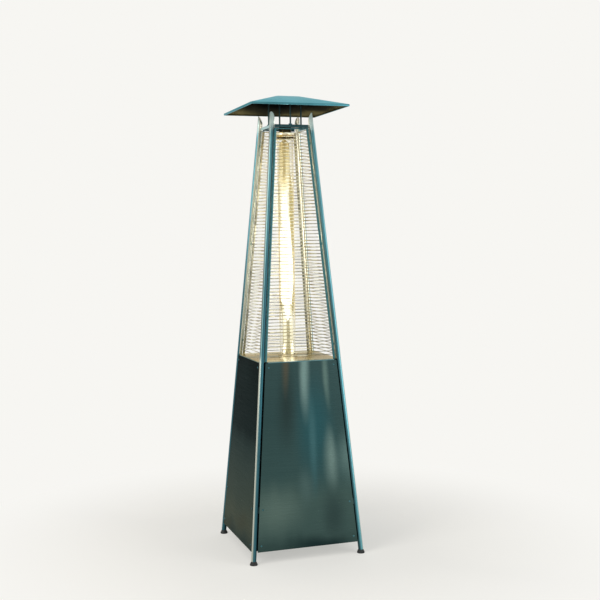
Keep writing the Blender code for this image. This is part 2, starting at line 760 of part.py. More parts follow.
def make_gas_inlet():
    """Hose nipple screwed into the valve from below, through the burner box's floor."""
    start = VALVE_RADIUS * math.cos(math.pi / TURNED_SIDES) + SEAT_GAP
    end = start + INLET_LENGTH
    profile = [
        (0.0, start),
        (INLET_NUT_RADIUS, start),
        (INLET_NUT_RADIUS, start + INLET_NUT),
        (INLET_RADIUS, start + INLET_NUT),
        (INLET_RADIUS, end),
        (0.0, end),
    ]
    middle = -(VALVE_BACK + VALVE_FACE) / 2
    down = Matrix.Translation((0.0, 0.0, middle)) @ Matrix.Rotation(math.pi / 2, 4, "X")
    add("gas_inlet", turned(profile, SMALL_SIDES), "brass", control_frame(VALVE_ACROSS) @ down)


# Burner box and what it holds

def inlet_centre():
    """Where the gas inlet's axis passes through the burner box's floor."""
    frame = control_frame(VALVE_ACROSS)
    start = frame @ Vector((0.0, 0.0, -(VALVE_BACK + VALVE_FACE) / 2))
    down = -(frame.to_3x3() @ Vector((0.0, 1.0, 0.0)))
    return start + down * ((start.z - BOX_FLOOR) / -down.z)


def make_burner_box():
    """Folded box under the deck, open at the rear, where the control panel closes it."""
    middle = BOX_FLOOR - TRAY_THICKNESS / 2
    ceiling = DECK_TOP - TRAY_THICKNESS - SEAT_GAP
    inset = tray_inset() + TRAY_THICKNESS + SEAT_GAP
    rear = half_at(middle) - inset
    lean = LEAN * (ceiling - middle)
    centre = inlet_centre()
    outline = rectangle(-BOX_HALF_WIDTH, BOX_FRONT, BOX_HALF_WIDTH, rear)
    hole = circle(BOX_INLET_RADIUS, SMALL_SIDES, (centre.x, centre.y))
    mesh = pierced(outline, [hole], middle)
    rise = ceiling - middle
    corners = [Vector((x, y, middle)) for x, y in outline]
    shifts = [Vector((0.0, 0.0, rise)), Vector((0.0, 0.0, rise))]
    shifts += [Vector((0.0, -lean, rise)), Vector((0.0, -lean, rise))]
    lower = [min(mesh.verts, key=lambda vert, end=end: (vert.co - end).length) for end in corners]
    upper = [mesh.verts.new(vert.co + shift) for vert, shift in zip(lower, shifts)]
    for one, other in ((3, 0), (0, 1), (1, 2)):
        mesh.faces.new((lower[one], lower[other], upper[other], upper[one]))
    bmesh.ops.recalc_face_normals(mesh, faces=mesh.faces)
    thicken(add("burner_box", mesh, "inner_steel"), TRAY_THICKNESS)


def make_injector():
    """Brass injector standing on the box's floor, its tip inside the burner's stem."""
    foot = BOX_FLOOR + SEAT_GAP
    shoulder = BURNER_LOW - SEAT_GAP
    profile = [
        (0.0, foot),
        (INJECTOR_FOOT_RADIUS, foot),
        (INJECTOR_FOOT_RADIUS, foot + INJECTOR_FOOT),
        (INJECTOR_RADIUS, foot + INJECTOR_FOOT),
        (INJECTOR_RADIUS, shoulder),
        (INJECTOR_TIP_RADIUS, shoulder),
        (INJECTOR_TIP_RADIUS, shoulder + INJECTOR_TIP),
        (0.0, shoulder + INJECTOR_TIP),
    ]
    add("injector", turned(profile, TURNED_SIDES), "brass")


def make_burner():
    """Burner: a mixing tube up through the deck with a dished round head on it."""
    profile = [
        (STEM_BORE, BURNER_LOW),
        (STEM_RADIUS, BURNER_LOW),
        (STEM_RADIUS, HEAD_LOW),
        (HEAD_RADIUS, HEAD_LOW),
        (HEAD_RADIUS, HEAD_HIGH),
        (HEAD_RADIUS - HEAD_DISH / 2, HEAD_HIGH),
        (STEM_BORE, HEAD_HIGH - HEAD_DISH),
    ]
    add("burner", turned(profile, TURNED_SIDES), "inner_steel")


def pilot_places():
    """Plan places of the pilot tube, thermocouple and electrode beside the burner's head."""
    places = []
    for step in (-1, 0, 1):
        angle = math.pi / 2 + step * PILOT_SPREAD
        places.append(Vector((PILOT_CIRCLE * math.cos(angle), PILOT_CIRCLE * math.sin(angle), 0.0)))
    return places


def make_pilot_plate():
    """Small bracket under the deck with a hole for each of the three pilot pieces."""
    high = DECK_TOP - TRAY_THICKNESS - SEAT_GAP
    low = high - PILOT_PLATE_THICKNESS
    sweep = 4 * PILOT_SPREAD
    start = math.pi / 2 - sweep / 2
    outer = circle(PILOT_PLATE_OUTER, TURNED_SIDES, start=start, sweep=sweep)
    inner = circle(PILOT_PLATE_INNER, TURNED_SIDES, start=start, sweep=sweep)
    reach = PILOT_LEAD_RADIUS + PILOT_HOLE_PLAY
    holes = [circle(reach, SMALL_SIDES, (place.x, place.y)) for place in pilot_places()]
    add("pilot_bracket", slab(outer + inner[::-1], low, high, holes), "inner_steel")


def pipe(name, route, radius, material_name):
    """Tube along a smooth curve through the points of its route."""
    data = bpy.data.curves.new(name, "CURVE")
    data.dimensions = "3D"
    data.bevel_depth = radius
    data.bevel_resolution = 2
    data.use_fill_caps = True
    points = smooth_route(route, 2 * radius * PIPE_STEP_DIAMETERS)
    spline = data.splines.new("POLY")
    spline.points.add(len(points) - 1)
    for made, point in zip(spline.points, points):
        made.co = (*point, 1.0)
    return show(bpy.data.objects.new(name, data), material_name, Matrix(), None)


def smooth_route(route, step):
    """Points about a step apart along a route that is straight at both ends and smooth between them."""
    final = len(route) - 1
    points = [route[0], route[1]]
    for index in range(1, final - 1):
        start, end = route[index], route[index + 1]
        leaving = start - route[0] if index == 1 else end - route[index - 1]
        reaching = route[final] - end if index == final - 2 else route[index + 2] - start
        pull = (end - start).length / 3
        first = start + leaving.normalized() * pull
        last = end - reaching.normalized() * pull
        pieces = max(2, round((end - start).length / step))
        for piece in range(1, pieces + 1):
            share = piece / pieces
            rest = 1.0 - share
            points.append(start * rest ** 3 + first * 3 * rest ** 2 * share
                          + last * 3 * rest * share ** 2 + end * share ** 3)
    points.append(route[final])
    return points


def make_gas_pipe():
    """Gas pipe from the back of the valve to the injector's side."""
    frame = control_frame(VALVE_ACROSS)
    start = frame @ Vector((0.0, 0.0, -VALVE_BACK - SEAT_GAP))
    inward = -(frame.to_3x3() @ Vector((0.0, 0.0, 1.0)))
    end = Vector((0.0, INJECTOR_RADIUS + SEAT_GAP, BOX_FLOOR + INJECTOR_PORT))
    route = [
        start,
        start + inward * PIPE_BEND / 2,
        Vector((start.x / 2, end.y + PIPE_BEND, (start.z + end.z) / 2)),
        end + Vector((0.0, PIPE_BEND / 2, 0.0)),
        end,
    ]
    pipe("gas_pipe", route, GAS_PIPE_RADIUS, "copper")


def make_pilot_set():
    """Pilot tube, thermocouple and electrode, each with its lead back to the controls in one piece."""
    valve = control_frame(VALVE_ACROSS)
    barrel = control_frame(IGNITER_ACROSS)
    back = -VALVE_BACK - SEAT_GAP
    side = VALVE_RADIUS / 2
    starts = [
        valve @ Vector((-side, side, back)),
        valve @ Vector((side, side, back)),
        barrel @ Vector((0.0, 0.0, -IGNITER_DEPTH - SEAT_GAP)),
    ]
    names = ("pilot_tube", "thermocouple", "ignition_electrode")
    finishes = ("inner_steel", "copper", "ceramic")
    inward = -(valve.to_3x3() @ Vector((0.0, 0.0, 1.0)))
    under = DECK_TOP - DECK_RIM - PIPE_BEND / 2
    for name, material_name, start, place in zip(names, finishes, starts, pilot_places()):
        route = [
            start,
            start + inward * PIPE_BEND / 3,
            Vector((place.x + (start.x - place.x) / 3, place.y + PIPE_BEND / 2, under - PIPE_BEND / 3)),
            Vector((place.x, place.y, under)),
            Vector((place.x, place.y, PILOT_TOP)),
        ]
        pipe(name, route, PILOT_LEAD_RADIUS, material_name)


def make_tilt_switch():
    """Safety tilt switch on the burner box's floor."""
    half = TILT_SIDE / 2
    low = BOX_FLOOR + SEAT_GAP
    mesh = slab(rectangle(-half, -half, half, half), 0.0, TILT_HEIGHT)
    place = Matrix.Translation((TILT_ACROSS, TILT_FORWARD, low))
    switch = add("tilt_switch", mesh, "plastic", place)
    bevel = switch.modifiers.new("Edge", "BEVEL")
    bevel.width = TILT_ROUNDING
    bevel.segments = 2


# Flame tube and its fittings

def make_socket():
    """Ring on the deck that the glass tube stands in."""
    low = DECK_TOP + SEAT_GAP
    floor = low + SOCKET_FLOOR
    wall = SOCKET_RADIUS - SOCKET_WALL
    profile = [
        (DECK_HOLE_RADIUS, low),
        (SOCKET_RADIUS, low),
        (SOCKET_RADIUS, low + SOCKET_HEIGHT),
        (wall, low + SOCKET_HEIGHT),
        (wall, floor),
        (DECK_HOLE_RADIUS, floor),
    ]
    add("glass_socket", turned(profile, GLASS_SIDES), "inner_steel")


def seal_low():
    return DECK_TOP + SEAT_GAP + SOCKET_FLOOR + SEAT_GAP


def make_seal():
    """Gasket between the glass tube and its socket."""
    low = seal_low()
    inner = GLASS_RADIUS - GLASS_WALL
    outer = SOCKET_RADIUS - SOCKET_WALL - SEAT_GAP
    bore = GLASS_RADIUS + SEAT_GAP
    profile = [
        (inner, low),
        (outer, low),
        (outer, low + SEAL_HEIGHT),
        (bore, low + SEAL_HEIGHT),
        (bore, low + SEAL_FLOOR),
        (inner, low + SEAL_FLOOR),
    ]
    add("glass_seal", turned(profile, GLASS_SIDES), "gasket")


def make_glass():
    low = seal_low() + SEAL_FLOOR + SEAT_GAP
    high = HEIGHT - GLASS_TOP_DROP
    inner = GLASS_RADIUS - GLASS_WALL
    profile = [(inner, low), (GLASS_RADIUS, low), (GLASS_RADIUS, high), (inner, high)]
    add("glass_tube", turned(profile, GLASS_SIDES), "glass")


def make_collar():
    """Flue collar hung from the upper plate: a neck, a disc and a skirt round the glass tube's top."""
    top = HEIGHT - UPPER_PLATE_DROP - TRAY_THICKNESS / 2 - SEAT_GAP
    disc = HEIGHT - COLLAR_DISC_DROP
    neck = COLLAR_NECK_RADIUS
    skirt = disc - COLLAR_SKIRT
    profile = [
        (neck - COLLAR_WALL, top),
        (COLLAR_FLANGE_RADIUS, top),
        (COLLAR_FLANGE_RADIUS, top - COLLAR_WALL),
        (neck, top - COLLAR_WALL),
        (neck, disc + COLLAR_WALL),
        (COLLAR_RADIUS, disc + COLLAR_WALL),
        (COLLAR_RADIUS, skirt),
        (COLLAR_RADIUS - COLLAR_WALL, skirt),
        (COLLAR_RADIUS - COLLAR_WALL, disc),
        (neck - COLLAR_WALL, disc),
    ]
    add("flue_collar", turned(profile, GLASS_SIDES), "inner_steel")


# Guards

def guard_columns(level):
    """Distances from the middle of a guard's outer and inner edges at this height."""
    outer = half_at(level) - GUARD_OUTER_ACROSS
    return outer, outer - GUARD_STRIP


def guard_wire_levels():
    """Heights of the wires, from the first up to the top bar."""
    top = HEIGHT - UPPER_PLATE_DROP - UPPER_RIM - GUARD_TOP_GAP - GUARD_TOP_BAR
    count = int((top - GUARD_FIRST_WIRE) / GUARD_WIRE_PITCH)
    return [GUARD_FIRST_WIRE + GUARD_WIRE_PITCH * index for index in range(count)]


def tube_edge(depth):
    """Distance across a face from the post axis to the tube's side, this deep inside the face's plane."""
    return math.sqrt(POST_REACH ** 2 - depth ** 2) + SEAT_GAP


def guard_mesh():
    """One guard in the front face's place: two strips with tabs to the posts, a top bar, and wires."""
    low = DECK_TOP + SEAT_GAP
    high = HEIGHT - UPPER_PLATE_DROP - UPPER_RIM - GUARD_TOP_GAP
    tab_edge = tube_edge(GUARD_INSET - GUARD_THICKNESS / 2)
    rungs = [(level - GUARD_WIRE / 2, level + GUARD_WIRE / 2) for level in guard_wire_levels()]
    rungs.append((high - GUARD_TOP_BAR, high))
    mesh = bmesh.new()

    def point(across, level):
        inward = GUARD_INSET + GUARD_THICKNESS / 2
        return mesh.verts.new((across, inward - half_at(level), level))

    columns = []
    for side in (-1, 1):
        inner = [point(side * guard_columns(level)[1], level) for rung in rungs for level in rung]
        outer = [point(side * guard_columns(low)[0], low)]
        for share in GUARD_TAB_SHARES:
            middle = low + GUARD_TAB / 2 + (high - low - GUARD_TAB) * share
            ends = (middle - GUARD_TAB / 2, middle + GUARD_TAB / 2)
            outer.append(point(side * guard_columns(ends[0])[0], ends[0]))
            outer += [point(side * (half_at(level) - tab_edge), level) for level in ends]
            outer.append(point(side * guard_columns(ends[1])[0], ends[1]))
        outer.append(point(side * guard_columns(high)[0], high))
        foot = point(side * guard_columns(low)[1], low)
        mesh.faces.new(outer + inner[::-1] + [foot])
        columns.append(inner)
    for index in range(0, len(columns[0]), 2):
        left, right = columns
        mesh.faces.new((left[index], right[index], right[index + 1], left[index + 1]))
    bmesh.ops.recalc_face_normals(mesh, faces=mesh.faces)
    raised = bmesh.ops.extrude_face_region(mesh, geom=list(mesh.faces), use_keep_orig=True)
    points = [item for item in raised["geom"] if isinstance(item, bmesh.types.BMVert)]
    bmesh.ops.translate(mesh, verts=points, vec=FACE_NORMAL * GUARD_THICKNESS)
    bmesh.ops.recalc_face_normals(mesh, faces=mesh.faces)
    return mesh


def make_guard(side):
    add(f"guard_{side}", guard_mesh(), "steel", Matrix.Rotation(SIDE_TURNS[side], 4, "Z"))


# Upper plate, studs and hood

def stud_distance():
    """Distance of the hood studs from the middle, near the upper plate's edges."""
    return half_at(HEIGHT - UPPER_PLATE_DROP) - STUD_INSET


def make_upper_plate():
    """Folded plate between the post tops: flue hole in the middle, a stud hole near each edge."""
    holes = [circle(COLLAR_NECK_RADIUS - COLLAR_WALL, TURNED_SIDES)]
    for turn in SIDE_TURNS.values():
        centre = Matrix.Rotation(turn, 2) @ Vector((0.0, -stud_distance()))
        holes.append(circle(STUD_RADIUS + STUD_PLAY, SMALL_SIDES, tuple(centre)))
    level = HEIGHT - UPPER_PLATE_DROP
    walls = {side: half_at(level) - tray_inset() for side in SIDE_TURNS}
    make_tray("upper_plate", level, -UPPER_RIM, walls, holes, "dark_steel")


def make_stud(side):
    """Round stud from below the upper plate up to the hood, its top cut to the hood's slope."""
    run = (HOOD_SPAN - HOOD_CAP_SPAN) / 2
    rise = HOOD_RISE - HOOD_LIP
    distance = stud_distance()
    bottom = Vector((0.0, -distance, HEIGHT - UPPER_PLATE_DROP - STUD_TAIL))
    slope = Vector((0.0, -rise, run)).normalized()
    top = Vector((0.0, -distance, hood_underside(distance) - SEAT_GAP / slope.z))
    up = Vector((0.0, 0.0, 1.0))
    rings = [
        oblique_ring(bottom, up, STUD_RADIUS, bottom, up, SMALL_SIDES),
        oblique_ring(bottom, up, STUD_RADIUS, top, slope, SMALL_SIDES),
    ]
    add(f"hood_stud_{side}", ringed(rings), "steel", Matrix.Rotation(SIDE_TURNS[side], 4, "Z"))


def square(span, level):
    return [Vector((x * span / 2, y * span / 2, level)) for x, y in ((-1, -1), (1, -1), (1, 1), (-1, 1))]


def make_hood():
    """Shallow square pyramid of sheet with a flat top and a short upright lip."""
    side = HOOD_THICKNESS
    rim = HEIGHT - HOOD_RISE
    shoulder = rim + HOOD_LIP
    run = (HOOD_SPAN - HOOD_CAP_SPAN) / 2
    slope = (HOOD_RISE - HOOD_LIP) / run
    drop = HOOD_THICKNESS * math.hypot(1.0, slope)
    inner_shoulder = shoulder - drop + side * slope
    inner_cap = HOOD_CAP_SPAN + 2 * (HOOD_THICKNESS - drop) / slope
    rings = [
        square(HOOD_CAP_SPAN, HEIGHT),
        square(HOOD_SPAN, shoulder),
        square(HOOD_SPAN, rim),
        square(HOOD_SPAN - 2 * side, rim),
        square(HOOD_SPAN - 2 * side, inner_shoulder),
        square(inner_cap, HEIGHT - HOOD_THICKNESS),
    ]
    add("hood", ringed(rings), "hood_steel")


def main():
    clear_scene()
    for corner in CORNERS:
        make_post(corner)
        make_foot(corner)
    make_tray("base_plate", BASE_LEVEL, BASE_RIM, panel_walls(BASE_LEVEL), (), "inner_steel")
    deck_hole = circle(DECK_HOLE_RADIUS, TURNED_SIDES)
    deck_level = DECK_TOP - TRAY_THICKNESS / 2
    make_tray("deck_plate", deck_level, -DECK_RIM, panel_walls(deck_level), [deck_hole], "steel")
    for side in ("front", "left", "right"):
        make_panel(side)
        make_brace(side)
    make_control_panel()
    door = make_door()
    make_hinge("lower", HINGE_LOW, door)
    make_hinge("upper", HINGE_HIGH, door)
    make_door_pull(door)
    make_catch(door)
    make_valve()
    make_knob(make_spindle())
    make_bezel()
    make_igniter()
    make_gas_inlet()
    make_burner_box()
    make_injector()
    make_burner()
    make_pilot_plate()
    make_gas_pipe()
    make_pilot_set()
    make_tilt_switch()
    make_socket()
    make_seal()
    make_glass()
    make_collar()
    make_upper_plate()
    for side in SIDE_TURNS:
        make_guard(side)
        make_stud(side)
    make_hood()


main()
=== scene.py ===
"""Looks of the pyramid patio heater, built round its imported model. Metres, +Z up, front towards -Y."""

import json
import math

import bmesh
import bpy
from mathutils import Matrix, Vector, noise


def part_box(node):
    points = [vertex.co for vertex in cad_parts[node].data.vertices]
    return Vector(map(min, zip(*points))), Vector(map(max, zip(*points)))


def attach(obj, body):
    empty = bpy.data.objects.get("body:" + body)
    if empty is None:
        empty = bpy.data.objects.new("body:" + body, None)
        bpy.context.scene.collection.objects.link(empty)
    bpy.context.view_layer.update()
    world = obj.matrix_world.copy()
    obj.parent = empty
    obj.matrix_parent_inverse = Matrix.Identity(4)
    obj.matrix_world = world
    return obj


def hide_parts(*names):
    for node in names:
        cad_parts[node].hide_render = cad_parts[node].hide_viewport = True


# Camera, fitted to the photograph's frame
IMAGE_SIZE = 600
SENSOR_WIDTH = 36.0
FOCAL_PIXELS = 1006.5
CENTRE_PIXEL_X = 278.57
CENTRE_PIXEL_Y = 298.65
CAMERA_TURN = -0.321
CAMERA_DISTANCE = 5.1
CAMERA_HEIGHT = 1.59
CAMERA_PAN = 0.0085
CAMERA_PITCH = -0.0646
CAMERA_ROLL = -0.0129

# Studio
BACKDROP = (0.93, 0.921, 0.89, 1.0)
FLOOR_RADIUS = 60.0
FLOOR_SIDES = 96
FLOOR_SHADE_RADIUS = 1.9
FLOOR_SHADE_SHARE = 0.55
AMBIENT = 0.62
SOFT_BOX_WIDTH = 2.0
SOFT_BOX_HEIGHT = 3.0
SOFT_BOXES = (
    ("key", (-3.4, -1.6, 2.9), 70.0, (1.0, 0.97, 0.92)),
    ("fill", (2.8, -3.2, 1.8), 40.0, (0.92, 0.98, 1.0)),
)
# Heights and powers
FLAME_LAMPS = (
    (1.06, 0.03), (1.22, 0.4), (1.38, 1.7), (1.56, 2.8), (1.74, 2.2), (1.92, 1.5), (2.15, 0.12),
)
FLAME_LAMP_RADIUS = 0.025
FLAME_LAMP_TINT = (1.0, 0.95, 0.84)

# Form of the pyramid
FOOT_SPACING = 0.559
PEAK_SPACING = 0.18
PANEL_THICKNESS = 0.0016
PANEL_OUT = 0.0095
SEAT_GAP = 0.0003
POST_RADIUS = 0.0125
POST_WALL = 0.0015
POST_TOP_DROP = 0.078
POST_CUT_DROP = 0.132
POST_EDGE = 0.0004
POST_SIDES = 64

# Guards
GUARD_INSET = 0.006
GUARD_OUTER_ACROSS = 0.0146
GUARD_STRIP = 0.0122
GUARD_STRIP_THICKNESS = 0.0018
GUARD_EDGE = 0.0004
GUARD_WIRE_RADIUS = 0.0019
GUARD_WIRE_SIDES = 10
GUARD_FIRST_RISE = 0.023
GUARD_WIRE_PITCH = 0.0166
GUARD_WIRE_END = 0.0012
GUARD_WIRE_END_ROUND = 0.45
GUARD_WIRE_END_SHARE = 0.55
GUARD_WIRE_PLAY = 0.0004
GUARD_PLAY_RISE = 91.0
GUARD_PLAY_SWAP = 7.0
GUARD_TOP_BAR = 0.005
GUARD_TAB = 0.012
GUARD_TAB_SHARES = (0.06, 0.5, 0.94)

# Hood
HOOD_CAP_SPAN = 0.115
HOOD_LIP = 0.0095
HOOD_THICKNESS = 0.0014
HOOD_HEM = 0.006
HOOD_CORNER = 0.003
HOOD_CORNER_POINTS = 5
HOOD_EDGE = 0.001

# Glass and flame
GLASS_WALL = 0.0025
GLASS_SIDES = 96
FLAME_FOOT = 0.981
FLAME_TOP = 2.062
FLAME_SIDES = 48
FLAME_RINGS = 120
FLAME_LOBES = 3
FLAME_TWIST = 9.0
FLAME_SWIRL_SHARE = 0.015
FLAME_RAG_SHARE = 0.02
FLAME_RAG_TURN = 1.6
FLAME_RAG_RISE = 7.0
FLAME_RAG_SEED = 9.0
FLAME_HEADING = math.radians(-18.0)
VEIL_PROFILE = (
    (FLAME_FOOT, 0.03, 0.002), (1.01, 0.028, 0.003), (1.16, 0.0276, 0.0025), (1.25, 0.0378, 0.0),
    (1.78, 0.0378, 0.0), (1.92, 0.0276, -0.005), (2.04, 0.0264, -0.005), (FLAME_TOP, 0.005, -0.005),
)
HEART_PROFILE = (
    (1.15, 0.004, 0.002), (1.19, 0.021, 0.0), (1.225, 0.024, -0.002), (1.262, 0.0296, -0.004),
    (1.3, 0.0322, -0.002), (1.34, 0.0334, 0.0), (1.44, 0.0332, 0.0), (1.5, 0.0318, -0.002),
    (1.58, 0.0288, -0.004), (1.64, 0.0248, -0.0055), (1.7, 0.0232, -0.007), (1.78, 0.0216, -0.0085),
    (1.83, 0.018, -0.008), (1.87, 0.004, -0.007),
)
TONGUE_PROFILE = (
    (FLAME_FOOT, 0.019, 0.002), (1.004, 0.0182, 0.003), (1.04, 0.0162, 0.004), (1.15, 0.016, 0.003),
    (1.25, 0.015, -0.003), (1.78, 0.015, -0.0075), (1.95, 0.0152, -0.0055), (2.045, 0.0156, -0.005),
)
TONGUE_TURNS = (0.0, math.pi)
TONGUE_DEPTH = 0.0084
TONGUE_BREADTH = 0.018
TONGUE_FOOT_BREADTH = 0.0286
TONGUE_FOOT_TOP = 1.06
TONGUE_TIP = 0.1
TONGUE_TIP_SHARE = 0.55
TONGUE_DRIFT_SCALE = 5.0
TONGUE_DRIFT_TURN = 0.1
TONGUE_DRIFT_SWELL = 0.12
TONGUE_SIDES = 20

# Screws and nuts
SCREW_ACROSS = 0.033
SCREW_HEIGHTS = (0.088, 0.26, 0.939)
SCREW_RADIUS = 0.004
SCREW_HEIGHT = 0.0022
SCREW_DOME = (1.0, 0.97, 0.86, 0.68, 0.46)
SCREW_SOCKET = 0.0015
SCREW_SOCKET_DEPTH = 0.0012
SCREW_WASHER_RADIUS = 0.0048
SCREW_WASHER = 0.0006
SCREW_SIDES = 24
NUT_RADIUS = 0.0088
NUT_HEIGHT = 0.006
NUT_EDGE = 0.0007

# Where the looks change, and how far their edges waver
BUMP_DEPTH = 0.001
LIT_BLUR = 0.002
PANEL_WAVER = 0.1
PANEL_DRIFT = 0.16
# Widths and heights over which the posts' painted shade and highlights change
TUBE_BLUR = 0.05
TUBE_GAIN_LOW = 1.25
TUBE_GAIN_HIGH = 1.95
TUBE_HIGHLIGHT_RISE = 0.04
TUBE_PAINTED_LIGHT_LOW = 2.08
TUBE_PAINTED_LIGHT_HIGH = 2.14
DECK_WAVER = 0.1
DECK_DULL_FROM = 0.02
DECK_DULL_TO = 0.1
# Width and rear fade of the painted reflection of the flame on the deck
DECK_FLAME_REFLECTION = 0.037
DECK_FLAME_REFLECTION_FADE = 0.12
BURNT_WAVER = 0.05
BURNT_STRAW = 0.02
BURNT_PALE = 0.06
# Painted flame light on the wires, by distance from the flame's middle line
WIRE_FLAME_LIGHT_REACHES = (0.03, 0.05, 0.06, 0.12)
# Soot and painted shadow inside the hood, with heat tint and painted flame light towards the rim
SOOT_AND_SHADOW_WAVER = 0.06
SOOT_AND_SHADOW_REACHES = (0.17, 0.25, 0.26, 0.33)
KNOB_POINTER_HALF = 0.001
KNOB_POINTER_FOOT = 0.005
KNOB_POINTER_EDGE = 0.0003
# Heights of the painted golden flame light on the glass
GLASS_FLAME_LIGHT_RISE = 0.09
GLASS_FLAME_LIGHT_SPAN = 0.12
FLAME_LICK = 0.1

SHARP_ANGLE = math.radians(38.0)
SIDE_TURNS = {"front": 0.0, "right": math.pi / 2, "rear": math.pi, "left": -math.pi / 2}
QUARTERS = ((1, 1), (-1, 1), (-1, -1), (1, -1))
CORNERS = {"front_left": (-1, -1), "front_right": (1, -1), "rear_left": (-1, 1), "rear_right": (1, 1)}

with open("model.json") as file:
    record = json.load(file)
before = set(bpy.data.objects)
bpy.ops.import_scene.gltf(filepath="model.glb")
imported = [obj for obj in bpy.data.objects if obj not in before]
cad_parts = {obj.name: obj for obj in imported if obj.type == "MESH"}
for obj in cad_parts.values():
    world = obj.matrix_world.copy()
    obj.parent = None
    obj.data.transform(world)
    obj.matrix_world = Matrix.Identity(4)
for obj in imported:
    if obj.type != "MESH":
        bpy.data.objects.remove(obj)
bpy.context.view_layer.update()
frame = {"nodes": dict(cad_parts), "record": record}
nodes = frame["nodes"]
HEIGHT = max(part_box(name)[1].z for name in nodes)
LEAN = (FOOT_SPACING - PEAK_SPACING) / HEIGHT / 2
FACE_NORMAL = Vector((0.0, -1.0, LEAN)).normalized()
FACE_UP = Vector((0.0, LEAN, 1.0)).normalized()
FACE_ACROSS = Vector((1.0, 0.0, 0.0))
POST_REACH = POST_RADIUS * math.hypot(1.0, LEAN * math.sqrt(2.0))
DECK_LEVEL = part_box("deck_plate")[1].z


# Places on the pyramid

def half_at(level):
    """Distance of each face's plane through the post axes from the middle, at this height."""
    return FOOT_SPACING / 2 - LEAN * level


def face_point(level, across, out):
    """Point by the front face's plane, at this height, this far across and out of it."""
    return Vector((across, -half_at(level), level)) + FACE_NORMAL * out


def side_turn(side):
    """Turn round the middle axis from the front to this side."""
    return Matrix.Rotation(SIDE_TURNS[side], 4, "Z")


# Camera

def make_camera():
    data = bpy.data.cameras.new("camera")
    data.sensor_width = SENSOR_WIDTH
    data.lens = FOCAL_PIXELS / IMAGE_SIZE * SENSOR_WIDTH
    data.shift_x = (IMAGE_SIZE / 2 - CENTRE_PIXEL_X) / IMAGE_SIZE
    data.shift_y = (CENTRE_PIXEL_Y - IMAGE_SIZE / 2) / IMAGE_SIZE
    camera = new_object("camera", data)
    stand = Matrix.Rotation(CAMERA_TURN, 4, "Z") @ Matrix.Translation((0.0, -CAMERA_DISTANCE, CAMERA_HEIGHT))
    pan = Matrix.Rotation(CAMERA_PAN, 4, "Z")
    pitch = Matrix.Rotation(math.pi / 2 + CAMERA_PITCH, 4, "X")
    camera.matrix_world = stand @ pan @ pitch @ Matrix.Rotation(CAMERA_ROLL, 4, "Z")
    bpy.context.scene.camera = camera


# Node trees

def linear(tint):
    """Linear colour, with full cover, of an sRGB one in 0 to 255. Four numbers are linear already."""
    if len(tint) == 4:
        return tint
    channels = []
    for value in tint:
        share = value / 255
        channels.append(share / 12.92 if share <= 0.04045 else ((share + 0.055) / 1.055) ** 2.4)
    return (*channels, 1.0)


class Tree:
    """A node tree, and short calls that add nodes to it."""

    def __init__(self, tree):
        self.tree = tree

    def node(self, kind, *values, **settings):
        """Adds a node with these settings, and feeds its inputs in their order."""
        made = self.tree.nodes.new(kind)
        for name, value in settings.items():
            setattr(made, name, value)
        for socket, value in zip(made.inputs, values):
            self.feed(socket, value)
        return made

    def feed(self, socket, value):
        """Links an output to this input, or sets the input to a number, a vector or a colour."""
        if isinstance(value, bpy.types.NodeSocket):
            self.tree.links.new(value, socket)
        else:
            socket.default_value = linear(value) if isinstance(value, tuple) else value

    def fill(self, made, **inputs):
        """Feeds a node's inputs, named in lower case with underscores."""
        sockets = {socket.name.lower().replace(" ", "_"): socket for socket in made.inputs}
        for name, value in inputs.items():
            self.feed(sockets[name], value)

    def maths(self, operation, *values):
        return self.node("ShaderNodeMath", *values, operation=operation).outputs[0]

    def product(self, first, *others):
        for value in others:
            first = self.maths("MULTIPLY", first, value)
        return first

    def range(self, value, low, high, new_low=0.0, new_high=1.0, smooth=True):
        kind = "SMOOTHSTEP" if smooth else "LINEAR"
        made = self.node("ShaderNodeMapRange", value, low, high, new_low, new_high, interpolation_type=kind)
        return made.outputs["Result"]


